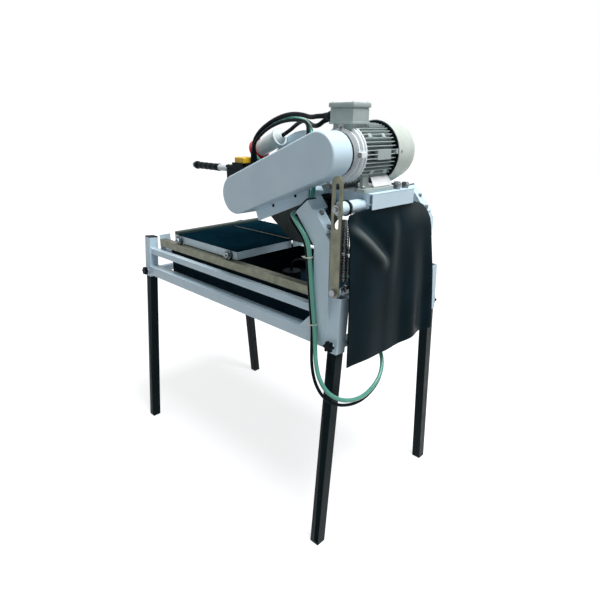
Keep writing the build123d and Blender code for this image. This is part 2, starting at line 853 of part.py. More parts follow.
# Motor: ribbed frame on two pairs of feet, with the drive-end shield in front
shield_boss_r = shield_hole_r - running_gap
with BuildPart() as motor_frame:
    with BuildSketch(at_y(frame_far_y)):
        with Locations((motor_x, motor_z)):
            Circle(core_r)
            with PolarLocations((core_r - fin_thick + fin_r) / 2, fins):
                Rectangle(fin_r - core_r + fin_thick, fin_thick)
    extrude(amount=frame_far_y - frame_near_y)
    # A long sole on each side, and a short web up to the barrel near each of its ends
    with BuildSketch(at_y(frame_far_y)):
        for way in (-1, 1):
            with Locations((motor_x + way * foot_spread, base_top_z + foot_thick / 2)):
                Rectangle(foot_width, foot_thick)
    extrude(amount=frame_far_y - frame_near_y)
    for web_near_y, web_far_y in foot_spans:
        with BuildSketch(at_y(web_far_y)):
            for way in (-1, 1):
                web_x = motor_x + way * (foot_spread - foot_width / 3)
                with Locations((web_x, (base_top_z + motor_z) / 2 - foot_thick)):
                    Rectangle(foot_thick, (motor_z - base_top_z) - 2 * foot_thick)
        extrude(amount=web_far_y - web_near_y)
    # Far end shield, which the fan cover is pushed over
    add(disc_y(motor_x, motor_z, cowl_r - cowl_wall, frame_far_y, frame_far_y + far_shield))
    bore_far_y = frame_far_y + far_shield
    add(disc_y(motor_x, motor_z, motor_shaft_r + fit, frame_near_y, bore_far_y), mode=Mode.SUBTRACT)
with BuildPart() as end_shield:
    with BuildSketch(Plane.YZ.offset(motor_x)):
        with BuildLine():
            Polyline(
                (frame_near_y, motor_z + motor_shaft_r + fit),
                (shield_near_y, motor_z + motor_shaft_r + fit),
                (shield_near_y, motor_z + shield_boss_r),
                ((shield_near_y + frame_near_y) / 2, motor_z + core_r),
                (frame_near_y - fin_thick * 3, motor_z + core_r),
                (frame_near_y - fin_thick * 3, motor_z + shield_r),
                (frame_near_y, motor_z + shield_r),
                close=True,
            )
        make_face()
    revolve(axis=Axis((motor_x, 0, motor_z), (0, 1, 0)))
    with BuildSketch(at_y(frame_near_y)):
        with Locations((motor_x, motor_z)):
            with PolarLocations(shield_r, 4, start_angle=45):
                Circle(fin_thick * 3)
    extrude(amount=fin_thick * 3)
save("motor_frame", motor_frame.part, end_shield.part)

with BuildPart() as fan_cover:
    with BuildSketch(Plane.YZ.offset(motor_x)):
        with BuildLine():
            Polyline(
                (frame_far_y, motor_z),
                (frame_far_y, motor_z + cowl_r),
                (0, motor_z + cowl_r),
                (motor_end_y, motor_z + cowl_end_r),
                (motor_end_y, motor_z),
                close=True,
            )
        make_face()
    revolve(axis=Axis((motor_x, 0, motor_z), (0, 1, 0)))
    end_rim = fan_cover.edges().filter_by(GeomType.CIRCLE).sort_by(Axis.Y)[-1]
    fillet(end_rim, cowl_round)
    mouth = fan_cover.faces().filter_by(GeomType.PLANE).sort_by(Axis.Y)[0]
    offset(amount=-cowl_wall, openings=mouth)
    # Air slots in the end of the cover
    with BuildSketch(at_y(motor_end_y)):
        with Locations((motor_x, motor_z)):
            for step in range(-3, 4):
                chord = 2 * math.sqrt(52**2 - (14 * step) ** 2)
                with Locations((0, 14 * step)):
                    SlotOverall(chord, 6)
    extrude(amount=2 * cowl_wall, mode=Mode.SUBTRACT)
save("fan_cover", fan_cover.part)

# Terminal box on a pad over the ribs, its lid, and the cable gland on its front
pad_z = motor_z + fin_r
box_mid_y = box_near_y + box_depth / 2
frame_overlap = frame_near_y + fin_thick
with BuildPart() as terminal_box:
    with BuildSketch(Plane.XY.offset(pad_z)):
        with Locations((motor_x, box_mid_y)):
            RectangleRounded(box_width, box_depth, 6)
    extrude(amount=box_height)
    with BuildSketch(Plane.XY.offset(pad_z + box_height)):
        with Locations((motor_x, box_mid_y)):
            RectangleRounded(box_width + 2 * box_lip, box_depth + 2 * box_lip, 8)
    extrude(amount=box_lid)
    lid_top = terminal_box.faces().sort_by(Axis.Z)[-1]
    chamfer(lid_top.edges(), box_lip)
gland_x = motor_x - box_width / 2
gland_z = pad_z + box_height / 2
cord_gland_y = box_mid_y + 2.3 * gland_r
cord_gland_z = gland_z - 8
glands = []
for y, z in ((box_mid_y, gland_z), (cord_gland_y, cord_gland_z)):
    with BuildPart() as gland:
        with BuildSketch(Plane.YZ.offset(gland_x)):
            with Locations((y, z)):
                RegularPolygon(gland_r, 6)
        extrude(amount=-gland_length / 2)
        with BuildSketch(Plane.YZ.offset(gland_x - gland_length / 2)):
            with Locations((y, z)):
                Circle(gland_r - 2)
        extrude(amount=-gland_length / 2, taper=8)
    glands.append(gland.part)
save("terminal_box", terminal_box.part, *glands)

# Belt drive
belt_far_y = belt_near_y + belt_width


def pulley(x, z):
    """A flanged pulley for the flat-backed belt."""
    with BuildPart() as wheel:
        add(disc_y(x, z, pulley_r - running_gap, belt_near_y - pulley_rim, belt_far_y + pulley_rim))
        for rim_y in (belt_near_y - pulley_rim - running_gap, belt_far_y + running_gap):
            add(disc_y(x, z, pulley_rim_r, rim_y, rim_y + pulley_rim))
    return wheel


with BuildPart() as drive_belt:
    with BuildSketch(at_y(belt_far_y)):
        with Locations(Location(drive_mid, drive_angle)):
            SlotOverall(drive_length + 2 * (pulley_r + belt_thick), 2 * (pulley_r + belt_thick))
            SlotOverall(drive_length + 2 * pulley_r, 2 * pulley_r, mode=Mode.SUBTRACT)
    extrude(amount=belt_width)
save("drive_belt", drive_belt.part)

rotor_far_y = frame_far_y - motor_shaft_r
with BuildPart() as motor_shaft:
    add(pulley(motor_x, motor_z).part)
    add(disc_y(motor_x, motor_z, motor_shaft_r, belt_near_y, frame_far_y + 30))
    # Fan on the shaft's far end, under the cover
    with BuildSketch(at_y(frame_far_y + 30)):
        with Locations((motor_x, motor_z)):
            Circle(motor_shaft_r + 8)
            with PolarLocations((core_r + motor_shaft_r) / 2, 6):
                Rectangle(core_r - motor_shaft_r, fin_thick)
    extrude(amount=20)
save("motor_shaft", motor_shaft.part)

blade_near_y = blade_y - blade_thick / 2
blade_far_y = blade_y + blade_thick / 2
with BuildPart() as arbor:
    add(pulley(arbor_x, arbor_z).part)
    add(disc_y(arbor_x, arbor_z, arbor_r, belt_near_y, blade_far_y + flange_thick + arbor_nut))
    add(disc_y(arbor_x, arbor_z, flange_r, blade_near_y - flange_thick, blade_near_y))
    add(disc_y(arbor_x, arbor_z, flange_r, blade_far_y, blade_far_y + flange_thick))
    with BuildSketch(at_y(blade_far_y + flange_thick + arbor_nut)):
        with Locations((arbor_x, arbor_z)):
            RegularPolygon(arbor_r * 1.6, 6)
    extrude(amount=arbor_nut)
save("arbor", arbor.part)

with BuildPart() as saw_blade:
    with BuildSketch(at_y(blade_far_y)):
        with Locations((arbor_x, arbor_z)):
            Circle(blade_r)
            with PolarLocations(blade_r - blade_slot_depth / 2, blade_slots):
                SlotOverall(blade_slot_depth + blade_slot_width, blade_slot_width, mode=Mode.SUBTRACT)
            Circle(arbor_r, mode=Mode.SUBTRACT)
    extrude(amount=blade_thick)
save("saw_blade", saw_blade.part)

# Blade guard: a drum segment, open below, with a rolled edge round its rim
guard_near_y = blade_y - guard_width / 2
guard_far_y = blade_y + guard_width / 2
with BuildPart() as blade_guard:
    with BuildSketch(at_y(guard_far_y)):
        with Locations((arbor_x, arbor_z)):
            Circle(guard_r)
        with Locations((arbor_x, arbor_z - guard_drop - guard_r)):
            Rectangle(2 * guard_r, 2 * guard_r, mode=Mode.SUBTRACT)
    extrude(amount=guard_width)
    guard_mouth = blade_guard.faces().sort_by(Axis.Z)[0]
    offset(amount=-guard_wall, openings=guard_mouth)
    add(disc_y(arbor_x, arbor_z, arbor_r + 4, guard_near_y, blade_near_y - flange_thick), mode=Mode.SUBTRACT)
    # Neck that ties the guard to the end of the arbor housing
    neck_bore = arbor_r + 4
    add(disc_y(arbor_x, arbor_z, housing_r, housing_far_y, guard_near_y + guard_wall, neck_bore))
    # Water nozzle on the near wall, which the hose ends on
    add(disc_y(nozzle_x, nozzle_z, hose_r - 2, guard_near_y - nozzle_length, guard_near_y))
save("blade_guard", blade_guard.part)

# Rubber skirt on the guard's near wall, cut back at a slant where the stone goes in
skirt_points = [
    (arbor_x - skirt_front, arbor_z - guard_drop + skirt_lap),
    (arbor_x - skirt_nose, arbor_z - guard_drop - skirt_nose_drop),
    (arbor_x - skirt_foot_front, table_top_z + skirt_clear),
    (arbor_x + skirt_foot_rear, table_top_z + skirt_clear),
    (arbor_x + skirt_rear, arbor_z - guard_drop + skirt_lap),
]
save("splash_skirt", plate_y(skirt_points, guard_near_y - skirt_thick, guard_near_y))

# Handle bar and its finger-grooved grip
bar_rear_x = arbor_x + 2 * bar_r
with BuildPart() as handle_bar:
    with BuildSketch(Plane.YZ.offset(bar_front_x + 4)):
        with Locations((bar_y, bar_z)):
            Circle(bar_r)
            Circle(bar_r - bar_wall, mode=Mode.SUBTRACT)
    extrude(amount=bar_rear_x - bar_front_x - 4)
save("handle_bar", handle_bar.part)

groove_pitch = (grip_length - 24) / grip_grooves
with BuildPart() as handle_grip:
    with BuildSketch(Plane.XZ.offset(-bar_y)):
        with BuildLine():
            Polyline(
                (bar_front_x + grip_length, bar_z + bar_r),
                (bar_front_x + 4, bar_z + bar_r),
                (bar_front_x + 4, bar_z),
                (bar_front_x, bar_z),
                (bar_front_x, bar_z + grip_r),
                (bar_front_x + 12, bar_z + grip_r + 2),
            )
            groove_x = bar_front_x + 12
            top = grip_r + 2
            for step in range(grip_grooves):
                next_top = grip_r if step < grip_grooves - 1 else grip_groove_r
                ThreePointArc(
                    (groove_x, bar_z + top),
                    (groove_x + groove_pitch / 2, bar_z + grip_groove_r),
                    (groove_x + groove_pitch, bar_z + next_top),
                )
                groove_x += groove_pitch
                top = next_top
            Polyline(
                (groove_x, bar_z + top),
                (bar_front_x + grip_length, bar_z + grip_groove_r),
                (bar_front_x + grip_length, bar_z + bar_r),
            )
        make_face()
    revolve(axis=Axis((0, bar_y, bar_z), (1, 0, 0)))
save("handle_grip", handle_grip.part)

# Switch box that the handle bar runs through, its yellow cover and two buttons
switch_mid_x = switch_front_x + switch_length / 2
switch_top_z = switch_low_z + switch_height
switch_rear_x = switch_front_x + switch_length
with BuildPart() as switch_box:
    with BuildSketch(Plane.XY.offset(switch_low_z)):
        with Locations((switch_mid_x, bar_y)):
            RectangleRounded(switch_length, switch_width, 6)
    extrude(amount=switch_height)
    with BuildSketch(Plane.YZ.offset(switch_front_x - 1)):
        with Locations((bar_y, bar_z)):
            Circle(bar_r)
    extrude(amount=switch_length + 2, mode=Mode.SUBTRACT)
save("switch_box", switch_box.part)

cover_mid_x = cover_front_x + cover_length / 2
cover_mid_z = switch_top_z + cover_height / 2
button_ys = {"start_button": bar_y - button_pitch / 2, "stop_button": bar_y + button_pitch / 2}
with BuildPart() as switch_cover:
    with BuildSketch(Plane.XY.offset(switch_top_z)):
        with Locations((cover_mid_x, bar_y)):
            RectangleRounded(cover_length, cover_width, 6)
    extrude(amount=cover_height)
    crown = switch_cover.faces().sort_by(Axis.Z)[-1]
    fillet(crown.edges(), 4)
    for y in button_ys.values():
        with BuildSketch(Plane.YZ.offset(cover_front_x)):
            with Locations((y, cover_mid_z)):
                Circle(button_r + fit)
        extrude(amount=button_deep + button_proud, mode=Mode.SUBTRACT)
save("switch_cover", switch_cover.part)
for name, y in button_ys.items():
    with BuildPart() as button:
        with BuildSketch(Plane.YZ.offset(cover_front_x - button_proud)):
            with Locations((y, cover_mid_z)):
                Circle(button_r)
        extrude(amount=button_proud + button_deep)
        button_face = button.faces().sort_by(Axis.X)[0]
        chamfer(button_face.edges(), 1)
    save(name, button.part)

# Depth strap and its pin
strap_far_y = strap_near_y + strap_thick
strap_low_z = strap_pin_z - strap_width / 2
with BuildPart() as depth_strap:
    with BuildSketch(at_y(strap_far_y)):
        strap_mid = (strap_pin_x, (strap_low_z + strap_top_z) / 2)
        with Locations(Location(strap_mid, 90)):
            SlotOverall(strap_top_z - strap_low_z, strap_width)
        slot_mid = (strap_pin_x, (strap_slot_low_z + strap_slot_top_z) / 2)
        with Locations(Location(slot_mid, 90)):
            SlotOverall(strap_slot_top_z - strap_slot_low_z, strap_slot_width, mode=Mode.SUBTRACT)
        with Locations((strap_pin_x, strap_pin_z)):
            Circle(strap_pin_r + fit, mode=Mode.SUBTRACT)
    extrude(amount=strap_thick)
save("depth_strap", depth_strap.part)

pin_far_y = spring_y + spring_r
with BuildPart() as strap_pin:
    add(disc_y(strap_pin_x, strap_pin_z, strap_pin_r, strap_near_y - running_gap, pin_far_y))
    with BuildSketch(at_y(strap_near_y - running_gap)):
        with Locations((strap_pin_x, strap_pin_z)):
            RegularPolygon(strap_pin_r * 1.8, 6)
    extrude(amount=clamp_head)
    with BuildSketch(at_y(pin_far_y)):
        with Locations((strap_pin_x, strap_pin_z)):
            RegularPolygon(strap_pin_r * 1.8, 6)
    extrude(amount=-clamp_head)
save("strap_pin", strap_pin.part)


def biarc(start, start_way, stop, stop_way):
    """Two arcs that leave start along start_way and reach stop along stop_way."""
    chord = stop - start
    total = start_way + stop_way
    turn = 2 * (1 - start_way.dot(stop_way))
    along = chord.dot(total)
    if turn < 1e-9:
        reach = chord.dot(chord) / (4 * along)
    else:
        reach = (-along + math.sqrt(along**2 + turn * chord.dot(chord))) / turn
    middle = (start + stop + (start_way - stop_way) * reach) * 0.5
    middle_way = ((stop - stop_way * reach) - (start + start_way * reach)).normalized()
    TangentArc(start, middle, tangent=start_way)
    TangentArc(middle, stop, tangent=middle_way)


# Tension spring: one wire, from a hook under the pin, up its coils, to a hook over the tube
spring_pitch = (spring_top_z - spring_low_z) / spring_turns
spring_climb = spring_pitch / (2 * math.pi)


def coil_point(turn):
    angle = 2 * math.pi * turn
    side_x = strap_pin_x + spring_r * math.cos(angle)
    return Vector(side_x, spring_y + spring_r * math.sin(angle), spring_low_z + spring_pitch * turn)


def coil_way(turn):
    angle = 2 * math.pi * turn
    return Vector(-spring_r * math.sin(angle), spring_r * math.cos(angle), spring_climb).normalized()




def hook(centre_x, centre_z, y, radius, angle):
    """A point on a hook's bend round a bar along Y, and the way the wire runs there."""
    turn = math.radians(angle)
    point = Vector(centre_x + radius * math.cos(turn), y, centre_z + radius * math.sin(turn))
    return point, Vector(-math.sin(turn), 0, math.cos(turn))


pin_bend = strap_pin_r + spring_wire / 2 + running_gap
tube_bend = lift_tube_r + spring_wire / 2 + running_gap
with BuildPart() as lift_spring:
    with BuildLine() as spring_path:
        stations = [hook(strap_pin_x, strap_pin_z, spring_y - hook_shift, pin_bend, a) for a in (170, 265, 360)]
        stations += [(coil_point(half / 2), coil_way(half / 2)) for half in range(2 * spring_turns + 1)]
        stations += [hook(lift_tube_x, lift_tube_z, spring_y + hook_shift, tube_bend, a) for a in (0, 95, 190)]
        for (start, start_way), (stop, stop_way) in zip(stations, stations[1:]):
            biarc(start, start_way, stop, stop_way)
    with BuildSketch(Plane(origin=stations[0][0], z_dir=stations[0][1])):
        RegularPolygon(spring_wire / 2, 4)
    sweep(path=spring_path.wires()[0])
print("spring least gap between turns", round(spring_pitch - spring_wire, 2))


def cord(points, radius):
    """A cord's tube: straight runs joined by arcs as large as the runs allow."""
    route = [Vector(*point) for point in points]
    runs = [(b - a).length for a, b in zip(route, route[1:])]
    # An inner run is shared by two arcs, and an end run has one
    usable = [0.9 * runs[0]] + [0.45 * run for run in runs[1:-1]] + [0.9 * runs[-1]]
    radii = []
    for i in range(1, len(route) - 1):
        turn = math.radians((route[i] - route[i - 1]).get_angle(route[i + 1] - route[i]))
        radii.append(min(usable[i - 1], usable[i]) / math.tan(turn / 2))
    print("cord radii over diameter", [round(r / radius / 2, 1) for r in radii])
    with BuildPart() as tube:
        with BuildLine() as path:
            FilletPolyline(*route, radius=radii)
        with BuildSketch(Plane(origin=route[0], z_dir=route[1] - route[0])):
            RegularPolygon(radius, cord_sides)
        sweep(path=path.wires()[0])
    area = cord_sides / 2 * radius**2 * math.sin(2 * math.pi / cord_sides)
    length = path.wires()[0].length
    print("cord length", round(length), "volume over section times length", round(tube.part.volume / area / length, 4))
    return tube.part


save("lift_spring", lift_spring.part)

# Water hose and pump cable: from the pump over the pan's rear rim, down in a slack loop behind
# the stand, up the near column, round the pivot and up behind the belt guard
face_y = -column_outer_y - hose_r - line_gap
cable_y = -column_outer_y - pump_cable_r - line_gap
hose_root = [
    (pump_x + pump_r + pump_spout, pump_y, spout_z),
    (pump_x + 108, pump_y, spout_z),
    (290, -42, 815),
    (345, -38, 845),
    (400, -34, 858),
    (452, -30, 850),
    (486, -27, 812),
    (497, -25, 757),
    (505, -27, 702),
    (532, -33, 655),
    (572, -50, 618),
    (596, -88, 578),
    (603, -138, 553),
    (606, -192, 543),
    (604, -246, 550),
    (594, -296, 568),
    (572, -328, 596),
    (540, -331, 632),
    (512, -317, 672),
    (493, -300, 718),
    (481, face_y, 767),
    (473.6, face_y, 820),
    (466.8, face_y, 875),
    (461.4, face_y, 930),
    (455.6, face_y, 985),
    (446, face_y, 1036),
]
hose_turn = [
    (393, face_y, 1088),
    (350, -262, 1098),
]
hose_head = [
    (348, -208, 1098),
    (352, -170, 1136),
    (358, -173, 1190),
    (365, -177, 1242),
    (367, -179, 1292),
    (350, -168, 1335),
    (309, -140, 1354),
    (262, -123, 1361),
    (216, -117, 1363),
    (170, -114, 1359),
    (124, -112, 1347),
    (81, -111, 1328),
    (43, -111, 1302),
    (12, -107, 1264),
    (8, -86, 1224),
    (26, -50, 1203),
    (nozzle_x, -14, nozzle_z),
    (nozzle_x, guard_near_y - nozzle_length, nozzle_z),
]
cable_root = [
    (pump_x, pump_y, pump_low_z + pump_foot + pump_height),
    (pump_x, pump_y, pump_low_z + pump_foot + pump_height + 17),
    (pump_x + 13, pump_y + 5, 860),
    (pump_x + 48, pump_y + 16, 868),
    (222, -22, 864),
    (280, -19, 859),
    (340, -16, 861),
    (400, -14, 866),
    (450, -12, 856),
    (482, -10, 822),
    (492, -9, 768),
    (498, -10, 712),
    (522, -18, 660),
    (562, -36, 606),
    (588, -76, 560),
    (595, -130, 533),
    (598, -190, 523),
    (596, -250, 531),
    (586, -304, 551),
    (562, -337, 580),
    (529, -338, 616),
    (500, -322, 659),
    (480, -302, 708),
    (468, cable_y, 760),
    (460.4, cable_y, 817),
    (453.7, cable_y, 872),
    (448.3, cable_y, 927),
    (442.6, cable_y, 982),
    (433, cable_y, 1030),
]
cable_turn = [
    (380, cable_y, 1074),
    (336, -262, 1083),
]
cable_head = [
    (334, -210, 1083),
    (338, -178, 1122),
    (341, -180, 1178),
    (344, -186, 1232),
    (346, -192, 1284),
    (343, -184, 1330),
    (321, -165, 1357),
    (288, -156, 1366),
    (245, -150, 1368),
    (197, -145, 1364),
    (149, -141, 1353),
    (106, -140, 1336),
    (71, -140, 1315),
    (47, -141, 1293),
    (35, -143, 1267),
    (switch_rear_x - 8, bar_y + 7, switch_top_z + 32),
    (switch_rear_x - 8, bar_y + 7, switch_top_z),
]


def between(one, other):
    return tuple((a + b) / 2 for a, b in zip(one, other))


lines = {"water_lines_lower": [], "water_lines_flex": [], "water_lines_upper": []}
for root_run, turn_run, head_run, radius in (
    (hose_root, hose_turn, hose_head, hose_r),
    (cable_root, cable_turn, cable_head, pump_cable_r),
):
    leaves = between(root_run[-1], turn_run[0])
    joins = between(turn_run[-1], head_run[0])
    lines["water_lines_lower"].append(cord(root_run + [leaves], radius))
    lines["water_lines_flex"].append(cord([leaves] + turn_run + [joins], radius))
    lines["water_lines_upper"].append(cord([joins] + head_run, radius))
for name, pieces in lines.items():
    save(name, *pieces)

# Motor cable from the switch box, in an arch over the belt guard, to the gland
motor_cable = [
    (switch_rear_x - 7, bar_y + 20, switch_top_z),
    (switch_rear_x - 7, bar_y + 20, switch_top_z + 34),
    (24, -130, 1276),
    (36, -129, 1304),
    (64, -129, 1328),
    (102, -130, 1348),
    (147, -132, 1365),
    (196, -137, 1376),
    (245, -143, 1379),
    (288, -149, 1375),
    (325, -157, 1368),
    (366, box_mid_y, gland_z),
    (gland_x - gland_length, box_mid_y, gland_z),
]
save("motor_cable", cord(motor_cable, motor_cable_r))

# Supply plug on the guard's near wall, and the cord from its end to the terminal box
plug_way = Vector(plug_rise_x, 0, plug_rise_z).normalized()
plug_y = guard_near_y - plug_collar_r
plug_front = Vector(plug_front_x, plug_y, plug_front_z)
plug_end = plug_front + plug_way * plug_length
with BuildPart() as supply_plug:
    plug_plane = Plane(origin=plug_front, x_dir=(0, 1, 0), z_dir=plug_way)
    with BuildSketch(plug_plane):
        Circle(plug_collar_r)
    extrude(amount=plug_collar)
    with BuildSketch(plug_plane.offset(plug_collar)):
        Circle(plug_r)
    extrude(amount=plug_length - 2 * plug_collar)
    with BuildSketch(plug_plane.offset(plug_length - plug_collar)):
        Circle(plug_r + 3)
    extrude(amount=plug_collar / 3)
    with BuildSketch(plug_plane.offset(plug_length - plug_collar * 2 / 3)):
        Circle(plug_r - 2)
    extrude(amount=plug_collar * 2 / 3, taper=25)
    # Open mouth, and the block by which the body is screwed to the guard
    with BuildSketch(plug_plane):
        Circle(plug_mouth_r)
    extrude(amount=plug_collar, mode=Mode.SUBTRACT)
    with BuildSketch(plug_plane.offset(plug_length - 2 * plug_collar)):
        with Locations((plug_collar_r / 2, 0)):
            Rectangle(plug_collar_r, plug_r)
    extrude(amount=plug_collar)
save("supply_plug", supply_plug.part)

supply_cord = [
    (plug_end.X, plug_end.Y, plug_end.Z),
    (plug_end.X + plug_way.X * 42, plug_end.Y, plug_end.Z + plug_way.Z * 42),
    (129, plug_y - 7, 1333),
    (172, -32, 1344),
    (217, -60, 1346),
    (261, -92, 1342),
    (303, -121, 1337),
    (341, -139, 1342),
    (376, cord_gland_y, cord_gland_z),
    (gland_x - gland_length, cord_gland_y, cord_gland_z),
]
save("supply_cord", cord(supply_cord, supply_cord_r))

# Rear curtain: a rubber sheet that hangs in folds from the hem under the motor base
fold_shape = ((0, 0.1), (0.2, 0.45), (0.4, 0.1), (0.58, -0.2), (0.74, 0.5), (0.88, -0.15), (1, 0.72))
curtain_rows = [
    (hem_z - hem_r / 2, base_near_y, base_far_y, 0.2),
    (hem_z - curtain_corner_drop, -248, 100, 3.0),
    (hem_z - curtain_shoulder_drop, -262, 131, 7.0),
    (hem_z - curtain_body_drop, -268, 172, 12.0),
    (curtain_low_z, -267, 198, 18.0),
]


def curtain_row(z, y_low, y_high, wave, x):
    """One level of the sheet: a band in soft folds, closed by its two edges."""
    faces = []
    for face_x in (x, x + curtain_thick):
        span = y_high - y_low
        faces.append([(face_x + wave * bulge, y_low + span * share) for share, bulge in fold_shape])
    with BuildSketch(Plane.XY.offset(z)) as row:
        with BuildLine():
            Spline(*faces[0])
            Spline(*faces[1])
            Line(faces[0][0], faces[1][0])
            Line(faces[0][-1], faces[1][-1])
        make_face()
    return row.sketch


levels = []
for z, y_low, y_high, wave in curtain_rows:
    kick = curtain_kick * min(1, (hem_z - z) / curtain_kick_drop)
    levels.append(curtain_row(z, y_low, y_high, wave, hem_x - curtain_thick / 2 + kick))
with BuildPart() as curtain:
    loft(levels, ruled=True)
    add(disc_y(hem_x, hem_z, hem_r, base_near_y, base_far_y))
save("curtain", curtain.part)
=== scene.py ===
# %% [markdown]
# # Wet stone table saw
# The machine stands on four plug-in legs. A table rolls on angle rails over a water pan, and a
# belt-driven saw head tips on two bent columns. The CAD model is the fixed frame of this lesson,
# and Blender adds soft parts, fasteners, rounded edges and finishes. Blender works in metres, and
# sizes are written here in millimetres, as in the CAD: X runs to the motor's end, Y away from the
# near side and Z up.

# %% Load the frame
import json
import math

import bpy
from mathutils import Matrix, Vector

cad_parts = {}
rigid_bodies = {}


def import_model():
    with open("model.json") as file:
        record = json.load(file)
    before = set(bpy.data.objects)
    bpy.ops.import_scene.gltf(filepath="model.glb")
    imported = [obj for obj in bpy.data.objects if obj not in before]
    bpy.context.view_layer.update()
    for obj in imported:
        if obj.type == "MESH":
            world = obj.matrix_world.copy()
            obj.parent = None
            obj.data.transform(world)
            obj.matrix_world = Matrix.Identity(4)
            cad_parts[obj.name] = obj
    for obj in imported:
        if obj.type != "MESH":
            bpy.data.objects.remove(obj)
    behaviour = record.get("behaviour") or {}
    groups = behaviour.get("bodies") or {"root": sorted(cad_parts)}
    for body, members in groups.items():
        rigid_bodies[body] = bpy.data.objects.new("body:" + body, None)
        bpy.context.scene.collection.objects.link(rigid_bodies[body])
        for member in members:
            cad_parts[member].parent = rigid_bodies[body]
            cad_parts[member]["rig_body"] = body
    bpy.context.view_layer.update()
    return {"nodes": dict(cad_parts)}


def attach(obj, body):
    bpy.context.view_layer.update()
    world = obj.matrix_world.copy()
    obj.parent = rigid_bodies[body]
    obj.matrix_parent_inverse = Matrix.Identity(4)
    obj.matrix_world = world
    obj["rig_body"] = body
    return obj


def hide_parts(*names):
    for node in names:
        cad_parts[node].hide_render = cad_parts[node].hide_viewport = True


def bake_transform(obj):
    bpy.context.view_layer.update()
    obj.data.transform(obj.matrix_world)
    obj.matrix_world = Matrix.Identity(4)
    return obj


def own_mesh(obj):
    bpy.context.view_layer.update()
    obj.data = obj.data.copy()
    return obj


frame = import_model()
nodes = frame["nodes"]

MM = 0.001


def metres(point):
    return Vector(point) * MM


# %% [markdown]
# ## Camera
# The photograph was taken from behind and to the near side, a little above the table. A camera
# could be moved by eye until the picture fits. Its place, direction and lens were fitted to the
# stand's corners instead, so it is set from those numbers.

# %% Camera from the fit
CAMERA_AT = (1383.7, -1277.4, 1351.7)
YAW, PITCH, ROLL = math.radians(134.391), math.radians(-20.237), math.radians(-0.521)
FOCAL_PX, FRAME_PX, SENSOR_MM = 479.72, 600, 36

forward = Vector(
    (math.cos(PITCH) * math.cos(YAW), math.cos(PITCH) * math.sin(YAW), math.sin(PITCH))
)
level_right = forward.cross(Vector((0, 0, 1))).normalized()
level_down = forward.cross(level_right)
right = math.cos(ROLL) * level_right + math.sin(ROLL) * level_down
down = -math.sin(ROLL) * level_right + math.cos(ROLL) * level_down
bpy.ops.object.camera_add()
camera = bpy.context.object
camera.data.sensor_width = SENSOR_MM
camera.data.lens = FOCAL_PX / FRAME_PX * SENSOR_MM
turn = Matrix((right, -down, -forward)).transposed().to_4x4()
camera.matrix_world = Matrix.Translation(metres(CAMERA_AT)) @ turn
bpy.context.scene.camera = camera
print("lens", round(camera.data.lens, 2))

# %% [markdown]
# ## Colours and nodes
# Colours are written as the eye reads them, in sRGB hex, and one function turns them to the linear
# values that a shader works in. Another adds a shader node with its settings and links. Nodes could
# be set up by hand for each finish, but all of these have the same make: two close colours in
# blotches, and a fine grain. So one function lays them out, and each finish gives its own numbers.


# %% Colour and node helpers
def colour(code):
    channels = [int(code[i : i + 2], 16) / 255 for i in (1, 3, 5)]
    linear = [c / 12.92 if c <= 0.04045 else ((c + 0.055) / 1.055) ** 2.4 for c in channels]
    return (*linear, 1)


def add_node(tree, kind, links=None, **settings):
    made = tree.nodes.new(kind)
    for name, value in settings.items():
        setattr(made, name, value)
    for name, value in (links or {}).items():
        if isinstance(value, bpy.types.NodeSocket):
            tree.links.new(value, made.inputs[name])
        else:
            made.inputs[name].default_value = value
    return made


def start_material(name):
    made = bpy.data.materials.new(name)
    made.use_nodes = True
    tree = made.node_tree
    shader = tree.nodes["Principled BSDF"]
    place = add_node(tree, "ShaderNodeTexCoord").outputs["Object"]
    return made, tree, shader, place


# A Mix node has a socket of the same name for each kind of value. Those for colours are these.
MIX_SHARE, MIX_A, MIX_B, MIX_RESULT = 0, 6, 7, 2
GRAIN_DEPTH_MM = 0.3


def mottled(
    name, base, worn, blotch_mm, grain_mm, rough, bump,
    metal=0.0, amount=0.5, coat=0.0, gloss=0.5, tint="#FFFFFF",
):
    """Two close colours in blotches that vary the roughness too, over a fine grain in height."""
    made, tree, shader, place = start_material(name)
    blotch = add_node(
        tree, "ShaderNodeTexNoise",
        {"Vector": place, "Scale": 1 / (blotch_mm * MM), "Detail": 4.0},
    ).outputs["Fac"]
    grain = add_node(
        tree, "ShaderNodeTexNoise",
        {"Vector": place, "Scale": 1 / (grain_mm * MM), "Detail": 3.0},
    ).outputs["Fac"]
    spread = add_node(
        tree, "ShaderNodeMapRange",
        {"Value": blotch, "From Min": 0.35, "From Max": 0.7, "To Min": 0.0, "To Max": amount},
    )
    mix = add_node(
        tree, "ShaderNodeMix",
        {MIX_SHARE: spread.outputs["Result"], MIX_A: colour(base), MIX_B: colour(worn)},
        data_type="RGBA",
    )
    shine = add_node(
        tree, "ShaderNodeMapRange",
        {"Value": blotch, "From Min": 0.3, "From Max": 0.7,
         "To Min": rough - 0.06, "To Max": rough + 0.08},
    )
    height = add_node(
        tree, "ShaderNodeBump",
        {"Height": grain, "Strength": bump, "Distance": GRAIN_DEPTH_MM * MM},
    )
    tree.links.new(mix.outputs[MIX_RESULT], shader.inputs["Base Color"])
    tree.links.new(shine.outputs["Result"], shader.inputs["Roughness"])
    tree.links.new(height.outputs["Normal"], shader.inputs["Normal"])
    shader.inputs["Metallic"].default_value = metal
    shader.inputs["Coat Weight"].default_value = coat
    shader.inputs["Specular IOR Level"].default_value = gloss
    shader.inputs["Specular Tint"].default_value = colour(tint)
    return made


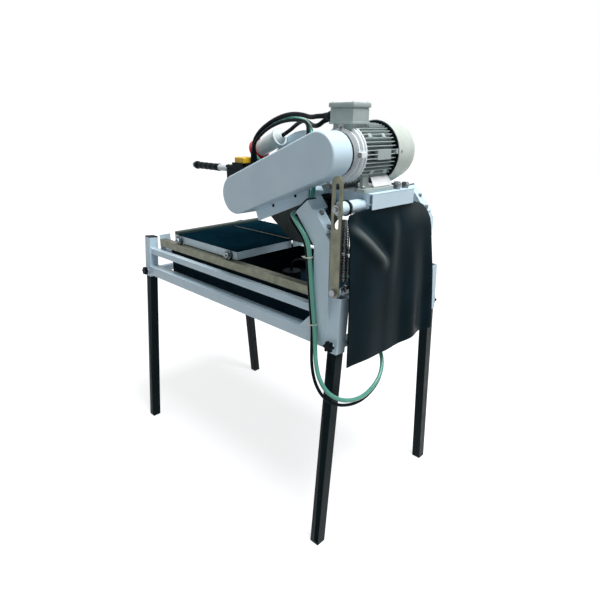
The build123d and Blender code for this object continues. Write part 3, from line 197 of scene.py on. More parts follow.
# %% [markdown]
# ## Finishes
# Each finish starts from what the real one is and how its surface was made. A flat colour would do
# from afar, but paint pools, zinc clouds and rubber takes up dust, and these small changes are what
# tell the materials apart. Every grain is 0.8 to 3 mm wide. That is coarser than on the real
# surfaces, where it is too fine to show in the render.

# %% Paints and metals: colour, worn colour, blotch and grain in mm, roughness, bump
DARK_SHEEN = "#86AEC0"
# Powder coat, sprayed and baked: a cool white half gloss with a faint orange peel.
powder_coat = mottled("powder_coat_cool_white", "#CAE1EE", "#BBD2E0", 90, 2.5, 0.36, 0.06)
# Stoved enamel on tube: near black, with a soft bluish sheen along the edges.
black_enamel = mottled(
    "black_enamel_tube", "#0C1517", "#162124", 60, 2.5, 0.42, 0.08, gloss=0.1, tint=DARK_SHEEN
)
# Brushed enamel: a dull dark green without clear reflections.
fence_enamel = mottled(
    "dark_green_enamel", "#2C3B38", "#3A4A46", 40, 2.0, 0.5, 0.1, gloss=0.25
)
# Enamel under a film of slurry: blue-black, and it hardly shines.
pan_enamel = mottled(
    "black_enamel_pan", "#14242E", "#1B2F39", 80, 3.0, 0.38, 0.08, gloss=0.006, tint=DARK_SHEEN
)
# Yellow-passivated zinc plate: an olive tone, cloudy, with a dull metal shine.
zinc_plate = mottled(
    "yellow_zinc_plate", "#7A7B6B", "#61665A", 25, 1.5, 0.42, 0.1, metal=0.7, amount=0.8
)
# Steel turned on a lathe: mid grey with a fine bright grain.
bare_steel = mottled("turned_steel", "#8F9294", "#6E7173", 14, 1.0, 0.34, 0.08, metal=1.0)
# Drawn wire under oil: dark, with bright lines along its coils.
spring_wire = mottled("oiled_spring_wire", "#6A6F72", "#474C50", 10, 1.0, 0.3, 0.05, metal=0.8)
# Hardened steel under grease: dark, with a low oily shine.
bearing_steel = mottled(
    "oiled_bearing_steel", "#5C6466", "#434B4E", 10, 1.0, 0.38, 0.08, metal=0.9
)
# Sand-cast aluminium under grey paint: a grainy skin and a soft shine.
cast_grey = mottled("painted_cast_aluminium", "#A4B1B0", "#8D9B97", 30, 1.6, 0.46, 0.22)
# Cast aluminium turned to size: pale and smoother, with light rings on its steps.
shield_grey = mottled("machined_cast_aluminium", "#EDF4F7", "#D3DEE3", 24, 1.2, 0.34, 0.12)
# Enamelled plate: the whitest piece, flat and even.
white_plate = mottled("white_enamel_plate", "#F6F8FA", "#ECEFF2", 30, 1.2, 0.4, 0.03)
# Drawn steel sheet under paint: smooth and a little greenish.
fan_sheet = mottled("painted_steel_sheet", "#C3CCC5", "#A9B3AA", 40, 2.0, 0.42, 0.06)
# Bright zinc plate on bolts: silvery, with small clear highlights.
plated_bolt = mottled("bright_zinc_bolt", "#95989A", "#74787A", 6, 0.8, 0.3, 0.06, metal=0.9)
print("paints and metals", len(bpy.data.materials))

# %% Plastics and rubbers
# Plastic moulded in a pebbled tool: black and nearly matt.
black_moulding = mottled(
    "black_moulded_plastic", "#0B1216", "#141D22", 30, 1.2, 0.44, 0.12, gloss=0.1, tint=DARK_SHEEN
)
# Rolled rubber sheet: blue-black, with a low sheen that draws its folds.
rubber_sheet = mottled(
    "black_rubber_sheet", "#0A1A20", "#12262D", 120, 1.6, 0.3, 0.05,
    amount=0.7, gloss=0.025, tint=DARK_SHEEN,
)
# Ribbed rubber mat: dead matt, a dark blue-grey.
ribbed_mat = mottled("black_rubber_mat", "#08212D", "#0E2E3B", 45, 2.0, 0.65, 0.25, gloss=0.0)
# The same mat, greyer and lighter: a painted reflection of the sky, for the far half.
sky_lit_mat = mottled("rubber_mat_painted_reflection", "#182A36", "#22353F", 45, 2.0, 0.65, 0.25, gloss=0.0)
# Worn rubber flap: dark grey and dull.
skirt_rubber = mottled("grey_rubber_skirt", "#2A3333", "#3A4342", 50, 1.6, 0.6, 0.12, gloss=0.25)
# Plastics moulded in a polished tool: one clear colour each, with a soft highlight.
yellow_moulding = mottled("yellow_moulded_plastic", "#DDB41C", "#C99D14", 20, 1.0, 0.35, 0.05)
red_moulding = mottled(
    "red_moulded_plastic", "#C3101B", "#A30A14", 20, 1.0, 0.3, 0.05, gloss=0.2
)
green_moulding = mottled("green_moulded_plastic", "#1F8A3C", "#166B2D", 20, 1.0, 0.32, 0.05)
grey_moulding = mottled("grey_moulded_plastic", "#D3DEE0", "#BFCCD0", 25, 1.0, 0.38, 0.05)
# Extruded PVC hose: green under a smooth clear skin, with one long highlight.
hose_skin = mottled("green_garden_hose", "#4A9C88", "#388373", 30, 1.2, 0.3, 0.04, coat=0.3)
# Extruded PVC cable sheath: black, with a dull sheen along its length.
cable_skin = mottled(
    "black_cable_sheath", "#0A1216", "#151E23", 20, 1.0, 0.4, 0.05, gloss=0.1, tint=DARK_SHEEN
)
# Moulded nylon: pale and a little waxy.
tie_nylon = mottled("pale_nylon_tie", "#D8D8CE", "#C4C6BC", 8, 0.8, 0.4, 0.04)
print("all finishes", len(bpy.data.materials))

# %% [markdown]
# ## Lines first
# The hose and the cables hang in smooth bends. A line could be swept along short straight pieces,
# but a NURBS curve with the route's points for its control points stays one piece, and it cuts the
# corners as a stiff hose does. The stretch that turns at the head's pivot, between the still stand
# and the moving head, is a mesh of its own.


# %% Line helpers
def pick(*objects):
    if bpy.context.object and bpy.context.object.mode != "OBJECT":
        bpy.ops.object.mode_set(mode="OBJECT")
    bpy.ops.object.select_all(action="DESELECT")
    for item in objects:
        item.select_set(True)
    bpy.context.view_layer.objects.active = objects[0]


def bare_line(name, points, resolution):
    """A NURBS curve without thickness on its control points, in millimetres."""
    curve = bpy.data.curves.new(name, "CURVE")
    curve.dimensions = "3D"
    spline = curve.splines.new("NURBS")
    spline.points.add(len(points) - 1)
    for control, point in zip(spline.points, points):
        control.co = (*metres(point), 1)
    spline.order_u = 3
    spline.use_endpoint_u = True
    spline.resolution_u = resolution
    line = bpy.data.objects.new(name, curve)
    bpy.context.scene.collection.objects.link(line)
    return line


def thicken(line, radius_mm, resolution):
    """Give a line its round section and closed ends."""
    line.data.bevel_depth = radius_mm * MM
    line.data.bevel_resolution = resolution
    line.data.use_fill_caps = True


def lay_line(name, points, radius_mm, finish):
    """A round line in its finish, with its middle's path and length."""
    line = bare_line(name, points, 8)
    shown = line.evaluated_get(bpy.context.evaluated_depsgraph_get())
    plain = bpy.data.meshes.new_from_object(shown)
    path = [corner.co.copy() for corner in plain.vertices]
    bpy.data.meshes.remove(plain)
    thicken(line, radius_mm, 5)
    line.data.materials.append(finish)
    length = sum((b - a).length for a, b in zip(path, path[1:]))
    print(name, "length", round(length, 3))
    return line, path, length


def as_mesh(item):
    pick(item)
    bpy.ops.object.convert(target="MESH")
    return bpy.context.object


def middle(one, other):
    return tuple((a + b) / 2 for a, b in zip(one, other))


# %% [markdown]
# The green hose leaves the pump in the pan, goes over its rear rim, hangs in a loop behind the
# stand, climbs the near column, rounds the pivot and joins the arch over the belt guard. The pump's
# own black cable is tied along it as far as the switch box. The motor's cable and the supply cord
# make the rest of the arch. A simulation could let them hang, but they are stiff and held at many
# places, so their points are set where the lines run.

# %% Routes of the hose and the pump cable
HOSE_R, PUMP_CABLE_R, MOTOR_CABLE_R, SUPPLY_R = 6.6, 5.0, 7.0, 7.0
# Where the middle of each line lies when it is tied to the near column.
HOSE_Y, CABLE_Y = -290.258, -287.258
hose_root = [
    (188, -45, 786), (238, -45, 786), (290, -42, 815), (345, -38, 845), (400, -34, 858),
    (452, -30, 850), (486, -27, 812), (497, -25, 757), (505, -27, 702), (532, -33, 655),
    (572, -50, 618), (596, -88, 578), (603, -138, 553), (606, -192, 543), (604, -246, 550),
    (594, -296, 568), (572, -328, 596), (540, -331, 632), (512, -317, 672), (493, -300, 718),
    (481, HOSE_Y, 767), (473.6, HOSE_Y, 820), (466.8, HOSE_Y, 875), (461.4, HOSE_Y, 930),
    (455.6, HOSE_Y, 985), (446, HOSE_Y, 1036),
]
hose_turn = [(393, HOSE_Y, 1088), (350, -262, 1098)]
hose_head = [
    (348, -208, 1098), (352, -170, 1136), (358, -173, 1190), (360, -177, 1242), (356, -178, 1292),
    (339, -169, 1334), (302, -143, 1351), (262, -123, 1361), (216, -119, 1367), (168, -118, 1367),
    (120, -117, 1359), (75, -116, 1341), (33, -116, 1311), (0, -112, 1272), (-7, -92, 1227),
    (20, -52, 1203), (48, -14, 1208), (48, 8, 1208),
]
cable_root = [
    (130, -45, 825), (130, -45, 848), (150, -38, 870), (188, -27, 871), (230, -22, 865),
    (280, -19, 859), (340, -16, 861), (400, -14, 866), (450, -12, 856), (482, -10, 822),
    (492, -9, 768), (498, -10, 712), (522, -18, 660), (562, -36, 606), (588, -76, 560),
    (595, -130, 533), (598, -190, 523), (596, -250, 531), (586, -304, 551), (562, -336, 580),
    (529, -337, 616), (500, -322, 659), (480, -302, 708), (468, CABLE_Y, 760),
    (460.4, CABLE_Y, 817), (453.7, CABLE_Y, 872), (448.3, CABLE_Y, 927), (442.6, CABLE_Y, 982),
    (433, CABLE_Y, 1030),
]
cable_turn = [(380, CABLE_Y, 1074), (336, -262, 1083)]
cable_head = [
    (334, -210, 1083), (338, -178, 1122), (341, -180, 1178), (344, -186, 1232), (346, -192, 1284),
    (341, -184, 1329), (319, -165, 1353), (286, -157, 1360), (244, -152, 1361), (197, -148, 1357),
    (150, -145, 1346), (107, -144, 1329), (73, -144, 1308), (49, -145, 1286), (38, -146, 1261),
    (34, -146, 1236), (34, -146, 1209),
]
print("hose points", len(hose_root + hose_turn + hose_head))
print("pump cable points", len(cable_root + cable_turn + cable_head))

# %% Lay the hose and the pump cable
LINE_NODES = {
    "lower": "water_lines_lower", "flex": "water_lines_flex", "upper": "water_lines_upper",
}
for label, slot, root_run, turn_run, head_run, radius, finish in (
    ("water_hose", "hose", hose_root, hose_turn, hose_head, HOSE_R, hose_skin),
    ("pump_cable", "black_rubber", cable_root, cable_turn, cable_head, PUMP_CABLE_R, cable_skin),
):
    leaves, joins = middle(root_run[-1], turn_run[0]), middle(turn_run[-1], head_run[0])
    for stretch, points, body, lay in (
        ("lower", root_run + [leaves], "frame", "hanging"),
        ("upper", [joins] + head_run, "head", "taut"),
    ):
        line, _, length = lay_line(f"{label}_{stretch}", points, radius, finish)
        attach(line, body)
        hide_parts(LINE_NODES[stretch])
    line, path, length = lay_line(f"{label}_flex", [leaves] + turn_run + [joins], radius, finish)
    line = as_mesh(line)
    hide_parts(LINE_NODES["flex"])
    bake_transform(line)

# %% Lay the motor cable and the supply cord
motor_cable_route = [
    (33, -130, 1209), (33, -130, 1243), (24, -130, 1276), (36, -129, 1304), (64, -129, 1328),
    (102, -130, 1348), (147, -132, 1365), (196, -137, 1376), (245, -143, 1379), (288, -149, 1375),
    (325, -157, 1368), (366, -170, 1372), (410, -170, 1372),
]
PLUG_LENGTH, CORD_LEAD = 155, 38
plug_front = Vector((-99, -6, 1250))
plug_way = Vector((151, 0, 64)).normalized()
plug_end = plug_front + plug_way * PLUG_LENGTH
supply_route = [
    tuple(plug_end), tuple(plug_end + plug_way * CORD_LEAD), (120, -13, 1347), (166, -32, 1359),
    (213, -60, 1359), (259, -92, 1352), (303, -121, 1344), (341, -139, 1345),
    (376, -144.7, 1364), (410, -144.7, 1364),
]
for name, route, radius in (
    ("motor_cable_line", motor_cable_route, MOTOR_CABLE_R),
    ("supply_cord_line", supply_route, SUPPLY_R),
):
    line, _, length = lay_line(name, route, radius, cable_skin)
    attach(line, "head")
    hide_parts(name.replace("_line", ""))

# %% [markdown]
# ## Rigid pieces with rounded edges
# Real sheet and tube never end in a knife edge, and a small round is what catches the light. The
# stand, table and head could be modelled again by hand, but the CAD has them exactly. So each rigid
# CAD node is copied, its loose triangles are merged into whole faces, and a bevel rounds the edges.
# The CAD solid behind it stays as it is for the motion model.


# %% Rounding and dressing
def smooth_flat(item, smooth_deg):
    """Smooth shading that leaves the large flat faces flat, with the rounds blended into them."""
    bpy.ops.object.shade_smooth_by_angle(angle=math.radians(smooth_deg))
    leveller = item.modifiers.new("level faces", "WEIGHTED_NORMAL")
    leveller.keep_sharp = True
    bpy.ops.object.modifier_apply(modifier=leveller.name)


def round_edges(item, width_mm, over_deg=30):
    """Put the piece's place in its mesh and round the edges that turn by more than an angle."""
    pick(item)
    bpy.ops.object.transform_apply(location=True, rotation=True, scale=True)
    rounder = item.modifiers.new("edge round", "BEVEL")
    rounder.width = width_mm * MM
    rounder.segments = 2
    rounder.limit_method = "ANGLE"
    rounder.angle_limit = math.radians(over_deg)
    bpy.ops.object.modifier_apply(modifier=rounder.name)
    return item


def dress(name, finish, round_mm):
    """A copy of a CAD node with whole faces, rounded edges and its finish."""
    source = nodes[name]
    piece = bpy.data.objects.new(name + "_dressed", source.data.copy())
    bpy.context.scene.collection.objects.link(piece)
    piece.data.materials.clear()
    piece.data.materials.append(finish)
    pick(piece)
    bpy.ops.object.mode_set(mode="EDIT")
    bpy.ops.mesh.select_all(action="SELECT")
    bpy.ops.mesh.remove_doubles(threshold=0.005 * MM)
    bpy.ops.mesh.dissolve_limited(angle_limit=math.radians(1.0))
    bpy.ops.object.mode_set(mode="OBJECT")
    smooth_flat(round_edges(piece, round_mm, over_deg=40), 35)
    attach(piece, source["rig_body"])
    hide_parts(name)
    return piece


# %% Dress the rigid nodes
CORNERS = ("front_near", "front_far", "rear_near", "rear_far")
# Finish, slot, and each node with the round of its edges in millimetres.
RIGID = (
    (powder_coat, "white_paint", {
        "leg_sockets": 2.0, "lower_rails": 2.0, "upper_rails": 1.8, "cross_tubes": 1.8,
        "column_near": 2.0, "column_far": 2.0, "frame_plates": 0.8, "pivot_bearings": 0.8,
        "table_plate": 0.5, "carriage_frame": 0.6, "motor_base": 1.0, "lift_tube": 0.6,
        "head_arm": 2.0, "arbor_housing": 1.0, "guard_back_plate": 0.8, "belt_guard": 0.6,
        "blade_guard": 1.0,
    }),
    (black_enamel, "black_paint", {f"leg_{corner}": 1.8 for corner in CORNERS}),
    (pan_enamel, "black_paint", {"water_pan": 0.6}),
    (fence_enamel, "black_paint", {"fence_strip": 0.8}),
    (black_moulding, "black_plastic", {"post_caps": 1.2, "water_pump": 1.2}),
    (black_moulding, "black_plastic", {f"knob_{corner}": 0.8 for corner in CORNERS}),
    (zinc_plate, "zinc_steel", {"carriage_rails": 0.8, "depth_strap": 0.7}),
    (plated_bolt, "zinc_steel", {"strap_pin": 0.6}),
    (bearing_steel, "steel", {"front_wheels": 0.5, "rear_wheels": 0.5}),
    (bare_steel, "steel", {
        "pivot_shaft": 0.8, "handle_bar": 0.4, "motor_shaft": 0.5, "arbor": 0.5, "saw_blade": 0.2,
    }),
    (ribbed_mat, "black_rubber", {"table_mat": 0.6}),
    (rubber_sheet, "black_rubber", {"drive_belt": 0.8}),
    (fan_sheet, "motor_grey", {"fan_cover": 0.6}),
    (yellow_moulding, "yellow_plastic", {"switch_cover": 4.0}),
    (green_moulding, "green_plastic", {"start_button": 0.4}),
    (red_moulding, "red_plastic", {"stop_button": 0.4}),
)
dressed = {
    name: dress(name, finish, round_mm)
    for finish, slot, rounds in RIGID
    for name, round_mm in rounds.items()
}
print("dressed", len(dressed))

# %% [markdown]
# ## Rear curtain
# A heavy rubber sheet hangs from the hem under the motor base and keeps the slurry in. It is wider
# than its clamp, so its free corners droop, one diagonal crease runs in from the near corner and the
# far half falls in soft folds. Cloth could be dropped by a simulation, but a thick sheet has few
# folds and their places are known. So a grid is laid along those lines, and Solidify gives it its
# thickness.

# %% Lines of the curtain
HEM_X, HEM_Z, CURTAIN_LOW = 576.3, 1128.0, 656.0
CLAMP_NEAR, CLAMP_FAR = -175.0, 35.0
# Y of each free edge at a share of the drop.
NEAR_EDGE = ((0.0, -266), (0.03, -273), (0.08, -275.5), (0.3, -274), (0.5, -268), (1.0, -267))
FAR_EDGE = ((0.0, 106), (0.04, 127), (0.1, 141), (0.3, 158), (0.5, 175), (1.0, 197))
NEAR_DROOP, FAR_DROOP, DROOP_POWER = 9, 17, 1.6
# The sheet swings out below the base's edge, by so much over such a drop.
SWING_OUT, SWING_DROP = 14, 93.75
# How far it stands out, in shares of the fold's depth, at a share of the width.
FOLDS = (
    (0.0, 0.1), (0.2, 0.45), (0.4, 0.1), (0.58, -0.2), (0.74, 0.5), (0.88, -0.15), (1.0, 0.72),
)
FOLD_DEPTH = 17
# The crease from end to end in Y and Z, with a hollow that runs along it.
CREASE_FROM, CREASE_TO = Vector((-272.0, 1092.0)), Vector((-104.0, 958.0))
CREASE_HEIGHT, CREASE_WIDTH = 17, 19
HOLLOW_DEPTH, HOLLOW_WIDTH, HOLLOW_OFF = 8, 26, 40
print("crease of", round((CREASE_TO - CREASE_FROM).length), "mm")


def ease(x):
    x = min(max(x, 0), 1)
    return x * x * (3 - 2 * x)


def hump(off, width):
    """A soft bell, 1 in its middle."""
    return math.exp(-((off / width) ** 2))


def along(table, x, smooth=False):
    """Read a short table of (x, value), straight or eased from one entry to the next."""
    for (x0, v0), (x1, v1) in zip(table, table[1:]):
        if x <= x1:
            share = (x - x0) / (x1 - x0)
            return v0 + (v1 - v0) * (ease(share) if smooth else share)
    return table[-1][1]


def from_crease(y, z):
    """How far a spot lies from the crease's line, and how strong the crease is beside it."""
    crease = CREASE_TO - CREASE_FROM
    here = Vector((y, z)) - CREASE_FROM
    share = here.dot(crease) / crease.length_squared
    off = (here.x * crease.y - here.y * crease.x) / crease.length
    return off, ease((share + 0.05) / 0.3) * ease((1.15 - share) / 0.35)


def curtain_spot(across, drop):
    """The place of a spot at its shares of the curtain's width and drop."""
    near, far = NEAR_EDGE[0][1], FAR_EDGE[0][1]
    top_y = near + (far - near) * across
    near_share = max(0, (CLAMP_NEAR - top_y) / (CLAMP_NEAR - near))
    far_share = max(0, (top_y - CLAMP_FAR) / (far - CLAMP_FAR))
    top = HEM_Z - NEAR_DROOP * near_share**DROOP_POWER - FAR_DROOP * far_share**DROOP_POWER
    low = CURTAIN_LOW + 10 * (1 - across) ** 3 + 14 * max(0, across - 0.6) + 3 * math.sin(9 * across)
    z = top + (low - top) * drop
    near, far = along(NEAR_EDGE, drop), along(FAR_EDGE, drop)
    y = near + (far - near) * across
    off, fade = from_crease(y, z)
    crease = CREASE_HEIGHT * hump(off, CREASE_WIDTH)
    hollow = HOLLOW_DEPTH * hump(off + HOLLOW_OFF, HOLLOW_WIDTH)
    fold = FOLD_DEPTH * ease(drop * 1.1) * along(FOLDS, across, smooth=True)
    x = HEM_X + SWING_OUT * ease((HEM_Z - z) / SWING_DROP) + fold + fade * (crease - hollow)
    return metres((x, y, z))


# %% Curtain sheet
def give_wall(item, thickness_mm):
    """Make a skin a sheet, with half of its thickness on either side."""
    pick(item)
    wall = item.modifiers.new("wall", "SOLIDIFY")
    wall.thickness = thickness_mm * MM
    wall.offset = 0
    bpy.ops.object.modifier_apply(modifier=wall.name)
    return item


def settle(item, name, finish, body, smooth_deg=35):
    """Put the piece's place in its mesh, name it, finish it and let it ride on its body."""
    pick(item)
    bpy.ops.object.transform_apply(location=True, rotation=True, scale=True)
    item.name = name
    item.data.materials.clear()
    item.data.materials.append(finish)
    for face in item.data.polygons:
        face.material_index = 0
    smooth_flat(item, smooth_deg)
    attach(item, body)
    print(name, "faces", len(item.data.polygons))
    return item


CURTAIN_THICK, CURTAIN_FLAT, SHEET_DEG = 4, (0.455, 0.472), 60
bpy.ops.object.select_all(action="DESELECT")
bpy.ops.mesh.primitive_grid_add(x_subdivisions=90, y_subdivisions=90, size=1)
curtain = bpy.context.object
for corner in curtain.data.vertices:
    corner.co = curtain_spot(corner.co.x + 0.5, 0.5 - corner.co.y)
curtain_area = sum(face.area for face in curtain.data.polygons)
round_edges(give_wall(curtain, CURTAIN_THICK), 0.7, SHEET_DEG)
settle(curtain, "curtain_sheet", rubber_sheet, "rear_curtain", SHEET_DEG)
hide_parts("curtain")
print("curtain area", round(curtain_area, 4), "flat", round(CURTAIN_FLAT[0] * CURTAIN_FLAT[1], 4))

# %% [markdown]
# A painted highlight greys the sheet along the crease, in one streak below the base and on the far
# shoulder, where the folds catch the light. It could be a picture laid over the sheet, but a value
# on each vertex follows the folds by itself and moves with the curtain.

# %% Painted highlight on the curtain
# Painted highlight: the grey marks the crease, a streak below the base and a sheen on the far
# shoulder.
RIDGE_OFF, RIDGE_WIDTH = 3, 11
STREAK_Y, STREAK_WIDTH, STREAK_TOP, STREAK_LOW = -48.0, 16, 1120, 800
SHOULDER_Y, SHOULDER_Z = -40, 1030
STREAK_HIGHLIGHT, SHOULDER_SHEEN, MOST_HIGHLIGHT, HIGHLIGHT_GREY = 0.24, 0.3, 0.6, "#7D8584"
highlight_layer = curtain.data.attributes.new("painted_highlight", "FLOAT", "POINT")
for corner, highlight_value in zip(curtain.data.vertices, highlight_layer.data):
    run_y, run_z = corner.co.y / MM, corner.co.z / MM
    off, fade = from_crease(run_y, run_z)
    ridge = fade * hump(off + RIDGE_OFF, RIDGE_WIDTH)
    streak = hump(run_y - STREAK_Y, STREAK_WIDTH)
    streak *= ease((STREAK_TOP - run_z) / 60) * ease((run_z - STREAK_LOW) / 200)
    shoulder = ease((run_z - SHOULDER_Z) / 90) * ease((run_y - SHOULDER_Y) / 110)
    highlight_value.value = max(ridge, STREAK_HIGHLIGHT * streak, SHOULDER_SHEEN * shoulder)
# The shader mixes the painted highlight's grey into the rubber's own colour.
rubber_tree = rubber_sheet.node_tree
rubber_colour = rubber_tree.nodes["Principled BSDF"].inputs["Base Color"]
clean_rubber = rubber_colour.links[0].from_socket
highlight_read = add_node(rubber_tree, "ShaderNodeAttribute", attribute_name="painted_highlight")
highlight_share = add_node(
    rubber_tree, "ShaderNodeMapRange", {"Value": highlight_read.outputs["Fac"], "To Max": MOST_HIGHLIGHT}
)
highlighted_rubber = add_node(
    rubber_tree, "ShaderNodeMix",
    {MIX_SHARE: highlight_share.outputs["Result"], MIX_A: clean_rubber, MIX_B: colour(HIGHLIGHT_GREY)},
    data_type="RGBA",
)
rubber_tree.links.new(highlighted_rubber.outputs[MIX_RESULT], rubber_colour)
print("dust at most", round(max(highlight_value.value for highlight_value in highlight_layer.data), 2))

# %% [markdown]
# ## Splash skirt
# A dull rubber flap on the guard's near wall, cut at a slant, that brushes the stone. A flat cut-out
# would look like card, so a grid is laid in its outline with a slight wave at the free edge.

# %% Splash skirt
SKIRT_TOP, SKIRT_DROP, SKIRT_Y, SKIRT_THICK, SKIRT_WAVE = 1074.0, 157.0, 28.0, 3.2, 1.6
# X of each end at a depth below the top.
SKIRT_FRONT = ((0.0, -58.0), (67.0, -78.0), (157.0, 52.0))
SKIRT_REAR = ((0.0, 302.0), (157.0, 237.0))
bpy.ops.object.select_all(action="DESELECT")
bpy.ops.mesh.primitive_grid_add(x_subdivisions=64, y_subdivisions=42, size=1)
skirt = bpy.context.object
for corner in skirt.data.vertices:
    across, drop = corner.co.x + 0.5, 0.5 - corner.co.y
    depth = SKIRT_DROP * drop
    front, rear = along(SKIRT_FRONT, depth), along(SKIRT_REAR, depth)
    wave = SKIRT_WAVE * drop**2 * math.sin(11 * across + 2 * drop)
    corner.co = metres((front + (rear - front) * across, SKIRT_Y + wave, SKIRT_TOP - depth))
round_edges(give_wall(skirt, SKIRT_THICK), 0.5, SHEET_DEG)
settle(skirt, "splash_flap", skirt_rubber, "head", SHEET_DEG)
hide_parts("splash_skirt")
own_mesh(skirt)

# %% [markdown]
# ## Lift spring
# A close-wound tension spring balances the head: one wire with a hook round the strap's pin, its
# coils, and a hook over the lift tube. A stack of rings would look the same from afar, but only one
# wire runs out into its hooks. So the wire is one line with a few points a turn.

# %% Lift spring
LIFT_X, LIFT_Z = 545.0, 1134.0
SPRING_X, SPRING_Y, SPRING_R, WIRE_R = 551.0, -250.0, 12.0, 1.6
COIL_LOW, COIL_TOP, TURNS, PER_TURN = 925.0, 1103.0, 38, 10
PIN_Z, PIN_HOOK_R, PIN_HOOK_Y = 897.0, 9.0, -256.0
TUBE_HOOK_R, TUBE_HOOK_Y = 21.2, -240.0
HOOK_POINTS, HOOK_STEP = 10, 30
wire = []
for step in range(HOOK_POINTS):
    turn_by = math.radians(60 + HOOK_STEP * step)
    wire.append((
        LIFT_X - PIN_HOOK_R * math.sin(turn_by),
        PIN_HOOK_Y + 0.25 * step,
        PIN_Z + PIN_HOOK_R * math.cos(turn_by),
    ))
wire.append((SPRING_X + 4, SPRING_Y - 2, PIN_Z + 16))
for step in range(TURNS * PER_TURN + 1):
    turn_by = 2 * math.pi * step / PER_TURN
    wire.append((
        SPRING_X + SPRING_R * math.cos(turn_by),
        SPRING_Y + SPRING_R * math.sin(turn_by),
        COIL_LOW + (COIL_TOP - COIL_LOW) * step / (TURNS * PER_TURN),
    ))
wire.append((SPRING_X + 11, SPRING_Y + 6, COIL_TOP + 10))
for step in range(HOOK_POINTS):
    turn_by = math.radians(130 - HOOK_STEP * step)
    wire.append((
        LIFT_X + TUBE_HOOK_R * math.sin(turn_by),
        TUBE_HOOK_Y,
        LIFT_Z + TUBE_HOOK_R * math.cos(turn_by),
    ))
spring = lay_line("lift_spring_wire", wire, WIRE_R, spring_wire)[0]
spring.data.bevel_resolution = 2
spring.data.splines[0].resolution_u = 2
spring = as_mesh(spring)
bpy.ops.object.shade_smooth()
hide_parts("lift_spring")
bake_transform(spring)

# %% [markdown]
# ## Shaping helpers
# Small parts are begun from a primitive at its size and place, shaped in edit mode, rounded by a
# bevel and joined into one piece for each body. A turned part could be a stack of cylinders, but its
# outline is one line. So it starts as one vertex that is pulled along that line and spun about the
# axis, as on a lathe. What repeats is made once and copied round an axis.


# %% Blocks, bars and turned parts
def box(low, high):
    """A sharp box between two corners, in millimetres."""
    low, high = metres(low), metres(high)
    bpy.ops.object.select_all(action="DESELECT")
    bpy.ops.mesh.primitive_cube_add(size=1, location=(low + high) / 2, scale=high - low)
    bpy.ops.object.transform_apply(location=True, rotation=True, scale=True)
    return bpy.context.object


def block(low, high, round_mm):
    """A box with rounded edges."""
    return round_edges(box(low, high), round_mm)


def rod(at, way, radius, length, sides, round_mm):
    """A bar that starts at a point and runs along a direction."""
    way = Vector(way).normalized()
    bpy.ops.object.select_all(action="DESELECT")
    bpy.ops.mesh.primitive_cylinder_add(
        vertices=sides,
        radius=radius * MM,
        depth=length * MM,
        location=metres(Vector(at) + way * length / 2),
        rotation=way.to_track_quat("Z", "Y").to_euler(),
    )
    return round_edges(bpy.context.object, round_mm)


def turned(profile, at, way, steps):
    """A lathe part: (distance along, radius) points about an axis that starts at a point."""
    way = Vector(way).normalized()
    out = way.orthogonal().normalized()
    spots = [metres(Vector(at) + way * along_axis + out * radius) for along_axis, radius in profile]
    bpy.ops.object.select_all(action="DESELECT")
    bpy.ops.mesh.primitive_plane_add(size=MM, location=spots[0])
    piece = bpy.context.object
    bpy.ops.object.transform_apply(location=True)
    bpy.ops.object.mode_set(mode="EDIT")
    bpy.ops.mesh.merge(type="CENTER")
    for last, spot in zip(spots, spots[1:]):
        bpy.ops.mesh.extrude_region_move(TRANSFORM_OT_translate={"value": spot - last})
    bpy.ops.mesh.select_all(action="SELECT")
    bpy.ops.mesh.spin(steps=steps, angle=2 * math.pi, center=metres(at), axis=way)
    bpy.ops.mesh.select_all(action="SELECT")
    bpy.ops.mesh.remove_doubles(threshold=0.01 * MM)
    bpy.ops.mesh.normals_make_consistent(inside=False)
    bpy.ops.object.mode_set(mode="OBJECT")
    return piece


def joined(items):
    pick(*items)
    bpy.ops.object.join()
    return bpy.context.object


# %% Copies, directions, bolts and second finishes
def copies_round(pattern, at, way, degrees):
    """Turned copies of a pattern about an axis, each with its own mesh. The pattern is removed."""
    made = []
    to_axis = Matrix.Translation(metres(at))
    for angle in degrees:
        pick(pattern)
        bpy.ops.object.duplicate()
        twin = bpy.context.object
        turn_by = Matrix.Rotation(math.radians(angle), 4, Vector(way))
        twin.matrix_world = to_axis @ turn_by @ to_axis.inverted() @ pattern.matrix_world
        made.append(twin)
    bpy.data.objects.remove(pattern)
    return made


def outwards(degrees):
    """The direction at an angle about a Y axis, from X towards Z."""
    return Vector((math.cos(math.radians(degrees)), 0, math.sin(math.radians(degrees))))


def hex_bolt(at, way, across, washer=1.6):
    """A chamfered hexagon head on a washer, on a face at a point and facing along a direction."""
    top = washer + across * 0.64
    head = turned(
        [(washer, 0), (washer, across * 0.5), (washer + across * 0.55, across * 0.5),
         (top, across * 0.4), (top, 0)],
        at, way, 6,
    )
    ring = turned(
        [(0, 0), (0, across * 0.85), (washer * 0.8, across * 0.85),
         (washer, across * 0.75), (washer, 0)],
        at, way, 28,
    )
    return joined([head, ring])


def pan_screw(at, way, radius):
    """A low domed screw head with a round recess for the driver."""
    return turned(
        [(0, 0), (0, radius), (radius * 0.35, radius), (radius * 0.6, radius * 0.7),
         (radius * 0.62, radius * 0.25), (radius * 0.4, radius * 0.2), (radius * 0.4, 0)],
        at, way, 24,
    )


def second_finish(item, finish, test):
    """Give the faces whose middle passes a test another finish."""
    item.data.materials.append(finish)
    index = len(item.data.materials) - 1
    for face in item.data.polygons:
        if test(face.center / MM):
            face.material_index = index


